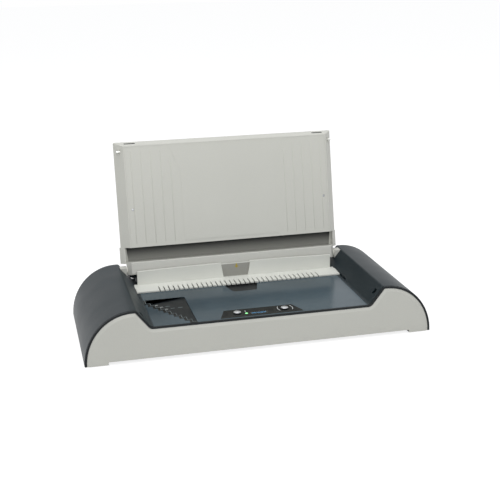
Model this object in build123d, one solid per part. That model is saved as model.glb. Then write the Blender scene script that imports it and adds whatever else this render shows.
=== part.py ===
"""Desktop thermal binding machine with its lid standing open.

Millimetres. X runs along the casing to the right, Y from the front to the back, Z up.
The model is laid out about the middle of the casing and moved along Y at the end, so that
the origin lies under the middle of the whole machine, at table level.
"""
from build123d import *
import math
import os

# ---------------------------------------------------------------- driving dimensions
casing_width = 530.0
casing_depth = 226.0
casing_foot = 1.2            # casing bottom above the table
shoulder_height = 79.5       # top of the shoulders above the table
shoulder_arc_width = 72.0    # sideways reach of the shoulder's curve
notch_floor = 52.6           # height of the fascia between the shoulders
notch_half_floor = 166.2     # half width between the sloped walls, at the notch floor
notch_half_top = 187.3       # half width between the sloped walls, at the shoulder tops
wall_foot_flange = 3.0       # ledge at the foot of each sloped wall
wall_foot_round = 6.0        # hollow rounding between that ledge and the wall
plateau_round = 4.5          # rounding along the wall's upper edge
shell_wall = 2.8
liner_wall = 2.0
touch_gap = 0.2              # gap between parts that only lie side by side
move_gap = 0.3               # gap beside a part that moves

# front
fascia_thickness = 2.4
fascia_bevel_width = 4.6
fascia_bevel_depth = 1.6
fascia_hook_reach = 8.0
end_foot_width = 34.5
underside_height = 5.4       # height of the raised middle of the bottom edge
trim_edge = 3.4              # width of the dark line round the fascia
trim_flange = 9.0
trim_thickness = 1.2
trim_proud = 1.3

# tray
tray_floor = 2.6
post_radius = 4.0
rubber_foot_radius = 9.0
foot_inset_x = 19.0
foot_inset_y = 24.0
screw_radius = 1.5
screw_head_radius = 3.2
screw_head_height = 1.6

# deck
panel_thickness = 3.0
panel_recess = 0.2           # panel top below the notch floor
frame_thickness = 3.0
skirt_depth = 8.0
well_front = 42.0
well_back = 84.0
well_rim_drop = 0.9
rear_deck_top = 56.0
rear_deck_thickness = 2.5
rear_wall_top = 60.0

# spine gauge
gauge_steps = 10
gauge_right = -98.5
gauge_back = 1.0
gauge_step_x = 6.2
gauge_step_y = 10.2
gauge_first_y = 15.0
gauge_floor = 2.0
gauge_margin = 2.0
gauge_depth = 1.2            # the gauge's floor below the panel top

# controls
control_back = -76.0
control_front = -106.5
control_half_back = 52.5
control_half_front = 63.5
button_x = (-35.0, 38.0)
button_y = -89.5
button_radius = 5.75
button_proud = 2.8
button_dome = 0.9
button_collar = 0.8
button_travel = 1.2
lamp_x = -22.0
lamp_y = -95.0
lamp_radius = 2.2
window_x = -3.0
window_y = -95.0
window_width = 26.0
window_height = 9.0
window_thickness = 1.2
board_thickness = 1.6
control_board_drop = 8.0     # control board top below the chassis frame
tact_size = 6.0
tact_height = 2.8
plunger_radius = 1.6
plunger_height = 0.7

# finger recess in the deck's back edge
pull_front = 4.0
pull_half_back = 27.0
pull_half_front = 19.0

# document guide
guide_travel = 28.0
guide_front = 35.0           # front edge of the comb-slotted strip
guide_strip = 2.2
guide_half_strip = 167.6
guide_plate_front = 69.5
guide_plate = 4.3
guide_half_plate = 162.0
guide_end_top = 77.0
guide_mid_top = 79.2
pull_recess = 2.4
pull_half_top = 25.0
pull_half_foot = 20.5
pull_lowered = 2.0
comb_slots = 35
comb_pitch = 7.7
comb_width = 1.8
comb_length = 19.5
slot_height = 2.8
rod_radius = 3.0
rod_fit = 0.05
rod_x = 177.4
rod_z = 49.2
slider_half_width = 4.8
slider_length = 12.0
bracket_ear = 2.0
bracket_base = 2.0
spring_wire = 0.45
guide_spring_radius = 3.95
guide_spring_turns = 11

# heater
heater_top = 30.0
heater_plate = 3.0
heater_end_gap = 0.4
element_thickness = 1.2
element_half = 142.0
insulator_thickness = 4.6
trough_wall = 1.2
thermostat_radius = 7.0
thermostat_height = 6.5
thermostat_tag = 3.0
sensor_x = 152.0
fuse_radius = 2.0
fuse_length = 12.0

# lid, measured upright with the hinge axis as its zero
hinge_y = 94.5
hinge_z = 73.2
lid_lean = 11.4              # degrees past upright, when open
lid_length = 207.0
lid_back = 8.5
lid_front = 13.5
lid_half_back = 184.0
lid_half_front = 168.5
lid_edge_inset = 7.0
lid_round = 1.5
lid_skin = 1.8
lid_tail = 7.0
lid_ear_start = 10.5
rail_top = 13.5
rail_half = 174.6
pocket_top = 37.0
pocket_rim = 1.0
panel_skin = 2.2
rail_wall = 2.4
rail_bearing = 17.0
heel_x = 100.0
heel_width = 20.0
heel_drop = 15.0
heel_thickness = 5.0
hinge_pin_radius = 2.5
hinge_fit = 0.05
bracket_inner = 176.0
bracket_half = 7.0
bracket_top_drop = 0.9
hinge_block_reach = 12.0
washer_radius = 5.5
pin_into_rail = 14.0
stud_u = 191.0
stud_back = 5.0
stud_radius = 2.2
stud_proud = 5.0
buffer_x = 157.0
buffer_length = 18.0
buffer_width = 5.0
buffer_depth = 3.0
centre_half_top = 96.0
centre_half_low = 79.0
centre_fall = 42.0
centre_raise = 0.5
lid_screw_x = 160.0
lid_screw_u = 98.0
lid_screw_radius = 2.0

# mains inlet and power switch in the right casing's back
inlet_x = 222.0
inlet_z = 30.0
inlet_body = (27.0, 19.6)
inlet_flange = (32.0, 25.0)
inlet_flange_thickness = 2.4
inlet_depth = 24.0
socket_size = (24.4, 16.4)
socket_depth = 20.0
inlet_pin_length = 14.5
inlet_pin_size = (2.0, 4.0)
inlet_pin_pitch = 7.0
switch_x = 187.0
switch_z = 30.0
switch_body = (12.6, 19.0)
switch_flange = (15.0, 21.4)
switch_flange_thickness = 1.8
switch_depth = 16.0
rocker_radius = 8.0
rocker_half_width = 5.0
rocker_tilt = 10.0
rocker_set_back = 1.0
rocker_proud = 3.4
rocker_fit = 0.05
rocker_pivot_radius = 1.2
rocker_pivot_length = 0.7

# power board and the flat cable to it
power_board_x = (184.0, 230.0)
power_board_y = (-82.0, 28.0)
power_board_post = 7.0
cable_socket_x = (30.0, 46.0)
cable_y = -73.0

# ---------------------------------------------------------------- derived places
half_width = casing_width / 2
front_face = -casing_depth / 2
back_face = casing_depth / 2
fascia_back = front_face + fascia_thickness
casing_front = fascia_back + trim_thickness
arc_centre = half_width - shoulder_arc_width
arc_height = shoulder_height - casing_foot
slope_rise = shoulder_height - notch_floor
slope_run = notch_half_top - notch_half_floor
slope_length = math.hypot(slope_rise, slope_run)
corner_shift = (slope_length - slope_run) / slope_rise
wall_across = shell_wall * slope_length / slope_rise
panel_top = notch_floor - panel_recess
frame_top = panel_top - panel_thickness
frame_bottom = frame_top - frame_thickness
board_top = frame_bottom - control_board_drop
board_bottom = board_top - board_thickness
tray_top = underside_height + tray_floor
rail_floor = casing_foot + tray_floor
tray_half = half_width - shell_wall - touch_gap
rail_inner = half_width - end_foot_width
inner_back = back_face - shell_wall
ledge_inner = notch_half_floor - wall_foot_flange
deck_half = ledge_inner - touch_gap
guide_plate_back = guide_plate_front + guide_plate
strip_bottom = notch_floor + touch_gap
strip_top = strip_bottom + guide_strip
slider_back = guide_plate_front - 4.0
slider_front = slider_back - slider_length
heater_bottom = heater_top - heater_plate
element_bottom = heater_bottom - element_thickness
insulator_bottom = element_bottom - insulator_thickness
trough_bottom = insulator_bottom - trough_wall
well_inner_front = well_front + liner_wall
well_inner_back = well_back - liner_wall
lean = math.radians(lid_lean)
lid_taper = (lid_half_back - lid_half_front) / (lid_front + lid_back)
edge_slope = lid_edge_inset / (lid_front + lid_back)
lid_top_centre = lid_length - lid_round * (edge_slope + math.hypot(1, edge_slope))
lid_reach = hinge_y + lid_top_centre * math.sin(lean) + (lid_back - lid_round) * math.cos(lean)
lid_reach += lid_round
centre_y = (front_face + lid_reach) / 2


# ---------------------------------------------------------------- small helpers
def block(x0, x1, y0, y1, z0, z1):
    """A box between two corners."""
    size = Box(abs(x1 - x0), abs(y1 - y0), abs(z1 - z0))
    return Pos((x0 + x1) / 2, (y0 + y1) / 2, (z0 + z1) / 2) * size


def rod(radius, start, end):
    """A round bar between two points."""
    start = Vector(*start)
    reach = Vector(*end) - start
    plane = Plane(origin=start, z_dir=reach.normalized())
    return extrude(plane * Circle(radius), amount=reach.length)


def tube(outer, inner, start, end):
    """A round sleeve between two points."""
    return rod(outer, start, end) - rod(inner, start, end)


def outline(points):
    """A flat face inside straight edges."""
    return make_face(Polyline(*points, close=True))


def along_y(face, y0, y1):
    """Push a face drawn in X and Z from y0 to y1."""
    return extrude(Plane.XZ.offset(-y0) * face, amount=-(y1 - y0))


def along_x(face, x0, x1):
    """Push a face drawn in Y and Z from x0 to x1."""
    return extrude(Plane.YZ.offset(x0) * face, amount=x1 - x0)


def along_z(face, z0, z1):
    """Push a face drawn in X and Y from z0 to z1."""
    return extrude(Plane.XY.offset(z0) * face, amount=z1 - z0)


def both_sides(shape):
    """The shape and its mirror image on the other side of the machine."""
    return [shape, mirror(shape, about=Plane.YZ)]


def group(shapes):
    """Separate solids that share one node."""
    solids = [solid for shape in shapes for solid in shape.solids()]
    return Compound(solids)


def spring(radius, wire, turns, start, end):
    """A coil spring whose wire fills the length between two points."""
    start = Vector(*start)
    reach = Vector(*end) - start
    length = reach.length - 2 * wire
    plane = Plane(origin=start + reach.normalized() * wire, z_dir=reach.normalized())
    coil = Helix(pitch=length / turns, height=length, radius=radius)
    section = Plane(origin=coil @ 0, z_dir=coil % 0) * Circle(wire)
    return plane * sweep(section, path=coil, is_frenet=True)


def wire_run(points, radius):
    """An insulated lead along a bent route."""
    reaches = [(Vector(*b) - Vector(*a)).length for a, b in zip(points, points[1:])]
    bends = []
    for i in range(1, len(points) - 1):
        before = Vector(*points[i]) - Vector(*points[i - 1])
        after = Vector(*points[i + 1]) - Vector(*points[i])
        half_turn = math.radians(before.get_angle(after)) / 2
        bends.append(0.45 * min(reaches[i - 1], reaches[i]) / math.tan(half_turn))
    path = FilletPolyline(*points, radius=bends)
    section = Plane(origin=path @ 0, z_dir=path % 0) * Circle(radius)
    return sweep(section, path=path)


# ---------------------------------------------------------------- casing outline
def slope_x(z, inset=0.0):
    """Where the sloped wall, moved into the casing by inset, is at a height."""
    return notch_half_floor + ((z - notch_floor) * slope_run + inset * slope_length) / slope_rise


def shoulder_arc(inset):
    """The curve of the right shoulder, from its foot to its top."""
    return EllipticalCenterArc(
        (arc_centre, casing_foot),
        shoulder_arc_width - inset,
        arc_height - inset,
        start_angle=0,
        arc_size=90,
    )


def mirrored_line(edges):
    """Edges on the right, with their mirror images on the left."""
    return edges + [mirror(edge, about=Plane.YZ) for edge in edges]


def end_view(inset, bottom=None):
    """The casing's outline from the front, drawn in by inset along its top.

    bottom lists the points of the lower edge, from right to left.
    """
    top = shoulder_height - inset
    floor = notch_floor - inset
    arc = shoulder_arc(inset)
    top_corner = (notch_half_top + corner_shift * inset, top)
    floor_corner = (notch_half_floor + corner_shift * inset, floor)
    right = [arc, Line(arc @ 1, top_corner), Line(top_corner, floor_corner)]
    middle = [Line(floor_corner, (-floor_corner[0], floor))]
    foot = arc @ 0
    lower = bottom or []
    lower_points = [(foot.X, foot.Y), *lower, (-foot.X, foot.Y)]
    face = make_face(mirrored_line(right) + middle + [Polyline(*lower_points)])
    return face


def round_near(face, points, radius):
    """Round the corners of a face that lie nearest to the points."""
    corners = []
    for x, z in points:
        corners.append(min(face.vertices(), key=lambda v: math.hypot(v.X - x, v.Y - z)))
    return fillet(corners, radius)


def rounded_end_view(inset, bottom=None):
    """end_view with its four notch corners rounded."""
    face = end_view(inset, bottom)
    floor_x = notch_half_floor + corner_shift * inset
    top_x = notch_half_top + corner_shift * inset
    floor_points = [(side * floor_x, notch_floor - inset) for side in (1, -1)]
    top_points = [(side * top_x, shoulder_height - inset) for side in (1, -1)]
    face = round_near(face, floor_points, wall_foot_round + inset)
    return round_near(face, top_points, max(plateau_round - inset, 0.6))


# ---------------------------------------------------------------- casing pieces
def side_casing():
    """The right domed shoulder with its sloped inner wall and its back."""
    outer_arc = shoulder_arc(0)
    outer = make_face([
        outer_arc,
        Polyline(
            outer_arc @ 1,
            (notch_half_top, shoulder_height),
            (notch_half_floor, notch_floor),
            (ledge_inner, notch_floor),
            (ledge_inner, casing_foot),
            outer_arc @ 0,
        ),
    ])
    outer = round_near(outer, [(notch_half_floor, notch_floor)], wall_foot_round)
    outer = round_near(outer, [(notch_half_top, shoulder_height)], plateau_round)
    inner_arc = shoulder_arc(shell_wall)
    skirt_bottom = notch_floor - skirt_depth
    skirt_inner = ledge_inner + shell_wall
    ledge_under = notch_floor - shell_wall
    inner = make_face([
        inner_arc,
        Polyline(
            inner_arc @ 1,
            (notch_half_top + corner_shift * shell_wall, shoulder_height - shell_wall),
            (notch_half_floor + corner_shift * shell_wall, ledge_under),
            (skirt_inner, ledge_under),
            (skirt_inner, skirt_bottom),
            (ledge_inner - 1, skirt_bottom),
            (ledge_inner - 1, casing_foot - 1),
            (half_width - shell_wall, casing_foot - 1),
            inner_arc @ 0,
        ),
    ])
    body = along_y(outer, casing_front, back_face)
    outer_edges = body.edges().filter_by(Plane.XZ).group_by(Axis.Y)[-1]
    rim = [e for e in outer_edges if e.center().X > arc_centre - 1 and e.center().Z > casing_foot + 1]
    body = fillet(rim, 2.2)
    shell = body - along_y(inner, casing_front - 1, inner_back)
    # the back wall clears the raised middle of the underside
    shell -= block(ledge_inner - 1, rail_inner, inner_back - 1, back_face + 1,
                   0, underside_height)
    for y in (-70.0, 70.0):
        x = half_width - foot_inset_x - 2.0
        boss = body & rod(post_radius, (x, y, rail_floor), (x, y, shoulder_height))
        shell += boss
        shell -= rod(screw_radius, (x, y, rail_floor - 1), (x, y, rail_floor + 14))
    # slot that the document guide slides in
    shell -= block(
        ledge_inner - 2,
        slope_x(strip_top) + wall_across + 2,
        guide_front - guide_travel - 1.5,
        guide_plate_front + 3.0,
        notch_floor,
        notch_floor + slot_height,
    )
    # slot that the lid's stud clicks into
    stud_y = hinge_y - stud_u
    stud_z = hinge_z - stud_back
    shell -= block(notch_half_floor, slope_x(stud_z + 4) + 4, stud_y - 3.5, stud_y + 3.5,
                   stud_z - 4.0, stud_z + 3.4)
    # hole for the hinge pin
    shell -= rod(hinge_pin_radius + 0.2, (bracket_inner - 2, hinge_y, hinge_z),
                 (slope_x(hinge_z) + wall_across + 3, hinge_y, hinge_z))
    return shell


def back_cutouts(shell):
    """Cut the inlet's and the switch's openings in the right casing's back."""
    for x, z, size in ((inlet_x, inlet_z, inlet_body), (switch_x, switch_z, switch_body)):
        half_x = size[0] / 2 + touch_gap
        half_z = size[1] / 2 + touch_gap
        shell -= block(x - half_x, x + half_x, inner_back - 1, back_face + 1, z - half_z, z + half_z)
    return shell


def rear_cover():
    """Back wall between the shoulders, with the ledge behind the binding well."""
    upper = slope_x(rear_wall_top) - touch_gap
    middle = slope_x(rear_wall_top - 4.5) - touch_gap
    lower = deck_half
    face = outline([
        (-lower, underside_height),
        (lower, underside_height),
        (lower, notch_floor),
        (middle, rear_wall_top - 4.5),
        (upper, rear_wall_top),
        (-upper, rear_wall_top),
        (-middle, rear_wall_top - 4.5),
        (-lower, notch_floor),
    ])
    wall = along_y(face, inner_back, back_face)
    ledge = block(-deck_half, deck_half, well_inner_back, inner_back + 1,
                  rear_deck_top - rear_deck_thickness, rear_deck_top)
    cover = wall + ledge
    for x in (-120.0, 0.0, 120.0):
        cover += block(x - 1.2, x + 1.2, well_back + 3, inner_back + 1,
                       tray_top, rear_deck_top - 1)
    for i in range(9):
        x = -40.0 + 10.0 * i
        cover -= block(x - 1.5, x + 1.5, inner_back - 1, back_face + 1, 14.0, 34.0)
    return cover


def bottom_tray():
    """Floor of the machine: two low rails at the ends and a raised middle."""
    face = outline([
        (-tray_half, casing_foot),
        (-rail_inner, casing_foot),
        (-rail_inner, underside_height),
        (rail_inner, underside_height),
        (rail_inner, casing_foot),
        (tray_half, casing_foot),
        (tray_half, rail_floor),
        (rail_inner + tray_floor, rail_floor),
        (rail_inner + tray_floor, tray_top),
        (-rail_inner - tray_floor, tray_top),
        (-rail_inner - tray_floor, rail_floor),
        (-tray_half, rail_floor),
    ])
    tray = along_y(face, casing_front + touch_gap, inner_back - touch_gap)
    posts = []
    for x in (-152.0, -75.0, 75.0, 152.0):
        for y in (-98.0, 30.0):
            posts.append((x, y, frame_bottom))
    for x in (-120.0, 120.0):
        for y in (well_front + 12.0, well_back - 12.0):
            posts.append((x, y, trough_bottom))
    for x in (-rod_x, rod_x):
        for y in (18.0, 46.0):
            posts.append((x, y, rod_z - rod_radius - 5.0))
    for x, y, top in posts:
        tray += rod(post_radius, (x, y, tray_top - 1), (x, y, top))
    for x in (power_board_x[0] + 5, power_board_x[1] - 5):
        for y in (power_board_y[0] + 5, power_board_y[1] - 5):
            tray += rod(2.6, (x, y, tray_top - 1), (x, y, tray_top + power_board_post))
    for i in range(12):
        x = -82.5 + 15.0 * i
        tray -= block(x - 2, x + 2, 50.0, 76.0, underside_height - 1, tray_top + 1)
    for x in (-1, 1):
        for y in (-70.0, 70.0):
            place_x = x * (half_width - foot_inset_x - 2.0)
            tray -= rod(screw_radius, (place_x, y, 0), (place_x, y, rail_floor + 1))
            tray -= rod(screw_head_radius, (place_x, y, 0),
                        (place_x, y, casing_foot + screw_head_height - 0.6))
    return tray


def rubber_feet():
    """Four pads under the rails."""
    feet = []
    for x in (-1, 1):
        for y in (-1, 1):
            place_x = x * (half_width - foot_inset_x)
            place_y = y * (back_face - foot_inset_y)
            pad = rod(rubber_foot_radius, (place_x, place_y, 0), (place_x, place_y, casing_foot))
            lower_edge = pad.edges().group_by(Axis.Z)[0]
            feet.append(fillet(lower_edge, 0.5))
    return group(feet)


def casing_screws():
    """Screws that pull the shoulders down on the tray."""
    screws = []
    for x in (-1, 1):
        for y in (-70.0, 70.0):
            place_x = x * (half_width - foot_inset_x - 2.0)
            head_top = casing_foot + screw_head_height - 0.6
            shank = rod(screw_radius, (place_x, y, head_top), (place_x, y, rail_floor + 10))
            head = rod(screw_head_radius, (place_x, y, head_top - 0.9), (place_x, y, head_top))
            screws.append(shank + head)
    return group(screws)


def front_fascia():
    """Light front plate with a bevelled rim, standing on two end feet."""
    feet = [(rail_inner, casing_foot), (rail_inner, underside_height),
            (-rail_inner, underside_height), (-rail_inner, casing_foot)]
    full = rounded_end_view(trim_edge + touch_gap, feet)
    small = rounded_end_view(trim_edge + touch_gap + fascia_bevel_width, feet)
    bevel_back = front_face + fascia_bevel_depth
    plate = along_y(full, bevel_back, fascia_back)
    bevel = loft([Plane.XZ.offset(-bevel_back) * full, Plane.XZ.offset(-front_face) * small],
                 ruled=True)
    fascia = plate + bevel
    for x in (-200.0, -70.0, 70.0, 200.0):
        fascia += block(x - 8, x + 8, fascia_back - 0.5, fascia_back + fascia_hook_reach,
                        tray_top, tray_top + 2.4)
    return fascia


def front_trim():
    """Dark frame whose edge shows as a line round the fascia."""
    outer = rounded_end_view(move_gap)
    edge_inner = rounded_end_view(trim_edge)
    flange_inner = rounded_end_view(trim_flange)
    below = block(-half_width, half_width, front_face - 1, casing_front + 1,
                  -10, casing_foot)
    edge = along_y(outer, fascia_back - trim_proud, fascia_back)
    edge -= along_y(edge_inner, front_face - 2, fascia_back)
    flange = along_y(outer, fascia_back, casing_front)
    flange -= along_y(flange_inner, fascia_back - 1, casing_front + 1)
    return edge + flange - below


# ---------------------------------------------------------------- deck
def gauge_outline(grow=0.0):
    """Stepped outline of the spine gauge, seen from above."""
    left = gauge_right - gauge_step_x * gauge_steps
    points = [(gauge_right + grow, gauge_back + grow), (left - grow, gauge_back + grow)]
    for step in range(gauge_steps):
        x = left + gauge_step_x * step - grow
        y = gauge_back - gauge_first_y - gauge_step_y * step
        points.append((x, y - grow))
        if step < gauge_steps - 1:
            points.append((x + gauge_step_x, y - grow))
    last_y = points[-1][1]
    points.append((gauge_right + grow, last_y))
    return outline(points)


def control_outline(grow=0.0):
    """Trapezoid of the control area, seen from above."""
    return outline([
        (-control_half_back - grow, control_back + grow),
        (control_half_back + grow, control_back + grow),
        (control_half_front + grow, control_front - grow),
        (-control_half_front - grow, control_front - grow),
    ])


def chassis_frame():
    """Black plate that carries the deck panel and the controls."""
    frame = block(-deck_half + 1, deck_half - 1, casing_front + 2, well_front,
                  frame_bottom, frame_top)
    frame -= along_z(gauge_outline(0.4), frame_bottom - 1, frame_top + 1)
    frame -= along_z(control_outline(-4.0), frame_bottom - 1, frame_top + 1)
    for x in (-54.0, 54.0):
        for y in (control_back + 6.0, control_front + 3.0):
            frame += rod(2.6, (x, y, board_top), (x, y, frame_bottom + 1))
    return frame


def deck_panel():
    """Glossy deck between the sloped walls."""
    panel = block(-deck_half, deck_half, casing_front, well_front,
                  frame_top, panel_top)
    panel = fillet(panel.edges().filter_by(Axis.X).group_by(Axis.Z)[-1], 0.6)
    panel -= along_z(gauge_outline(), frame_top - 1, panel_top + 1)
    panel -= along_z(control_outline(touch_gap), frame_top - 1, panel_top + 1)
    recess = outline([
        (-pull_half_back, guide_front),
        (-pull_half_back, well_front + 1),
        (pull_half_back, well_front + 1),
        (pull_half_back, guide_front),
        (pull_half_front, pull_front),
        (-pull_half_front, pull_front),
    ])
    recess = round_near(recess, [(pull_half_front, pull_front), (-pull_half_front, pull_front)], 5.0)
    panel -= along_z(recess, frame_top - 1, panel_top + 1)
    return panel


def spine_gauge():
    """Black stepped tray under the deck, with a raised floor that shows in the deck's hole."""
    wall = gauge_margin
    rim_bottom = frame_bottom - gauge_floor
    tray = along_z(gauge_outline(wall), rim_bottom, frame_bottom)
    floor = along_z(gauge_outline(-touch_gap), frame_bottom - 1, panel_top - gauge_depth)
    return tray + floor


def control_plate():
    """Black plate with the holes of the buttons, the lamp and the window."""
    plate = along_z(control_outline(), frame_top, panel_top)
    for x in button_x:
        plate -= rod(button_radius + move_gap, (x, button_y, frame_top - 1),
                     (x, button_y, panel_top + 1))
    plate -= rod(lamp_radius + 0.05, (lamp_x, lamp_y, frame_top - 1), (lamp_x, lamp_y, panel_top + 1))
    half_x = window_width / 2
    half_y = window_height / 2
    plate -= block(window_x - half_x, window_x + half_x, window_y - half_y, window_y + half_y,
                   panel_top - window_thickness, panel_top + 1)
    plate -= block(window_x - half_x + 1.5, window_x + half_x - 1.5, window_y - half_y + 1.2,
                   window_y + half_y - 1.2, frame_top - 1, panel_top)
    return plate


def display_window():
    """Clear window over the display."""
    half_x = window_width / 2 - 0.05
    half_y = window_height / 2 - 0.05
    return block(window_x - half_x, window_x + half_x, window_y - half_y, window_y + half_y,
                 panel_top - window_thickness, panel_top)


def display_module():
    """Display behind the window, standing on its header."""
    half_x = window_width / 2 - 1.7
    half_y = window_height / 2 - 1.4
    glass = block(window_x - half_x, window_x + half_x, window_y - half_y, window_y + half_y,
                  frame_bottom, panel_top - window_thickness)
    header = block(window_x - 9, window_x + 9, window_y - 1.2, window_y + 1.2,
                   board_top, frame_bottom + 1)
    return glass + header


def status_lamp():
    """Green lamp with its two legs."""
    dome_base = panel_top - 0.3
    lamp = rod(lamp_radius, (lamp_x, lamp_y, frame_bottom), (lamp_x, lamp_y, dome_base))
    top_edge = lamp.edges().group_by(Axis.Z)[-1]
    lamp = fillet(top_edge, 0.9)
    for shift in (-0.8, 0.8):
        lamp += block(lamp_x + shift - 0.3, lamp_x + shift + 0.3, lamp_y - 0.3, lamp_y + 0.3,
                      board_top, frame_bottom + 1)
    return lamp


def push_button(x):
    """Domed button with a retaining collar and a stem, turned about its own axis."""
    top = panel_top + button_proud
    collar_top = frame_top - touch_gap
    collar_low = collar_top - button_collar
    collar_radius = button_radius + 0.9
    stem_end = board_top + tact_height + plunger_height + button_travel + 0.1
    rim_radius = button_radius - 0.5
    dome_radius = (rim_radius ** 2 + button_dome ** 2) / (2 * button_dome)
    dome_centre = top - dome_radius
    middle = rim_radius / 2
    side = Polyline(
        (0, top),
        (0, stem_end),
        (1.5, stem_end),
        (1.5, collar_low),
        (collar_radius, collar_low),
        (collar_radius, collar_top),
        (button_radius, collar_top),
        (button_radius, top - button_dome - 0.5),
        (rim_radius, top - button_dome),
    )
    dome = ThreePointArc(
        (rim_radius, top - button_dome),
        (middle, dome_centre + math.sqrt(dome_radius ** 2 - middle ** 2)),
        (0, top),
    )
    return Pos(x, button_y, 0) * revolve(Plane.XZ * make_face([side, dome]), Axis.Z)


def button_spring(x):
    """Spring that lifts a button off its switch."""
    lower = (x, button_y, board_top)
    upper = (x, button_y, frame_top - touch_gap - button_collar)
    return spring(5.2, 0.4, 5, lower, upper)


def tact_switches():
    """The two switches that the buttons press."""
    switches = []
    for x in button_x:
        body = block(x - tact_size / 2, x + tact_size / 2, button_y - tact_size / 2,
                     button_y + tact_size / 2, board_top, board_top + tact_height)
        top = board_top + tact_height
        body += rod(plunger_radius, (x, button_y, top - 0.5), (x, button_y, top + plunger_height))
        switches.append(body)
    return group(switches)


def control_board():
    """Circuit board under the controls."""
    return block(-58.0, 58.0, control_front - 1.0, control_back + 10.0, board_bottom, board_top)


def board_parts():
    """Buzzer on the control board's underside, and the flat cable's two sockets."""
    buzzer = rod(6.0, (-44.0, -84.0, board_bottom - 6.5), (-44.0, -84.0, board_bottom))
    header = block(cable_socket_x[0], cable_socket_x[1], cable_y - 3, cable_y + 3,
                   board_bottom - 6.0, board_bottom)
    low = tray_top + power_board_post + board_thickness
    lower = block(power_board_x[0] + 1, power_board_x[0] + 5, cable_y - 3, cable_y + 3,
                  low, low + 6)
    return buzzer, group([header, lower])


# ---------------------------------------------------------------- document guide
def document_guide():
    """Upright plate and comb-slotted strip that clamp the pages."""
    half = guide_half_plate
    plate_face = make_face([
        Polyline((half, guide_end_top), (half, strip_bottom), (-half, strip_bottom),
                 (-half, guide_end_top)),
        ThreePointArc((-half, guide_end_top), (0, guide_mid_top), (half, guide_end_top)),
    ])
    guide = along_y(plate_face, guide_plate_front, guide_plate_back)
    guide += block(-guide_half_strip, guide_half_strip, guide_front,
                   guide_plate_back - 1.5, strip_bottom, strip_top)
    cut_top = guide_mid_top + 2
    grip = outline([
        (-pull_half_top, cut_top),
        (pull_half_top, cut_top),
        (pull_half_foot, strip_top),
        (-pull_half_foot, strip_top),
    ])
    guide -= along_y(grip, guide_plate_front - 1, guide_plate_front + pull_recess)
    guide -= block(-pull_half_top + 1, pull_half_top - 1, guide_plate_front - 1,
                   guide_plate_back + 1, guide_mid_top - pull_lowered, cut_top)
    for i in range(comb_slots):
        x = (i - (comb_slots - 1) / 2) * comb_pitch
        guide -= block(x - comb_width / 2, x + comb_width / 2, guide_front - 1,
                       guide_front + comb_length, strip_bottom - 1, strip_top + 1)
    tab_outer = rod_x + slider_half_width
    for side in (-1, 1):
        guide += block(side * (guide_half_strip - 1), side * tab_outer, slider_front, slider_back,
                       strip_bottom, strip_top)
    return guide


def slider_blocks():
    """Blocks under the guide's ends that run on the rods."""
    low = rod_z - rod_radius - 3.0 + move_gap
    body = block(rod_x - slider_half_width, rod_x + slider_half_width, slider_front, slider_back,
                 low, strip_bottom)
    body -= rod(rod_radius + rod_fit, (rod_x, slider_front - 1, rod_z), (rod_x, slider_back + 1, rod_z))
    return group(both_sides(body))


rod_front = slider_front - guide_travel - 16.0
rod_back = slider_back + 2.0 + bracket_ear


def guide_rods():
    """Steel rods that the document guide runs on."""
    return group(both_sides(rod(rod_radius, (rod_x, rod_front, rod_z), (rod_x, rod_back, rod_z))))


def rod_bracket():
    """Right bracket that holds a rod at both ends."""
    low = rod_z - rod_radius - 3.0
    half = slider_half_width
    body = block(rod_x - half, rod_x + half, rod_front, rod_back, low - bracket_base, low)
    for y0 in (rod_front, rod_back - bracket_ear):
        body += block(rod_x - half, rod_x + half, y0, y0 + bracket_ear, low - 0.5,
                      rod_z + rod_radius + 1.6)
    body -= rod(rod_radius, (rod_x, rod_front - 1, rod_z), (rod_x, rod_back + 1, rod_z))
    return body


def guide_spring():
    """Right spring that pushes the guide back on the pages."""
    return spring(guide_spring_radius, spring_wire, guide_spring_turns,
                  (rod_x, rod_front + bracket_ear, rod_z), (rod_x, slider_front, rod_z))


# ---------------------------------------------------------------- binding well and heater
def well_liner():
    """Black walls of the binding well, open at top and bottom."""
    outer = deck_half
    inner = deck_half - liner_wall
    top = panel_top - well_rim_drop
    liner = block(-outer, outer, well_front, well_back, tray_top, top)
    liner -= block(-inner, inner, well_inner_front, well_inner_back, tray_top - 1, top + 1)
    liner -= rod(4.0, (outer - 4, 63.0, 14.0), (outer + 1, 63.0, 14.0))
    return liner


def heater_parts():
    """Heater plate, element, insulator and the steel trough that holds them."""
    plate_half = deck_half - liner_wall - heater_end_gap
    front = well_inner_front + touch_gap
    back = well_inner_back - touch_gap
    plate = block(-plate_half, plate_half, front, back, heater_bottom, heater_top)
    plate = fillet(plate.edges().filter_by(Axis.X).group_by(Axis.Z)[-1], 0.8)
    inner_front = front + trough_wall
    inner_back_y = back - trough_wall
    element = block(-element_half, element_half, inner_front + 3, inner_back_y - 3,
                    element_bottom, heater_bottom)
    insulator = block(-element_half - 1, element_half + 1, inner_front, inner_back_y,
                      insulator_bottom, element_bottom)
    trough = block(-element_half - 1, element_half + 1, front, back, trough_bottom, heater_bottom)
    trough -= block(-element_half - 2, element_half + 2, inner_front, inner_back_y,
                    insulator_bottom, heater_bottom + 1)
    return plate, element, insulator, trough


def thermostat():
    """Disc thermostat on the heater plate's underside."""
    y = (well_inner_front + well_inner_back) / 2
    can = rod(thermostat_radius, (sensor_x, y, heater_bottom - thermostat_height),
              (sensor_x, y, heater_bottom))
    for shift in (-3.5, 3.5):
        can += block(sensor_x + shift - 0.4, sensor_x + shift + 0.4, y - 3, y + 3,
                     heater_bottom - thermostat_height - thermostat_tag,
                     heater_bottom - thermostat_height + 1)
    return can


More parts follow.
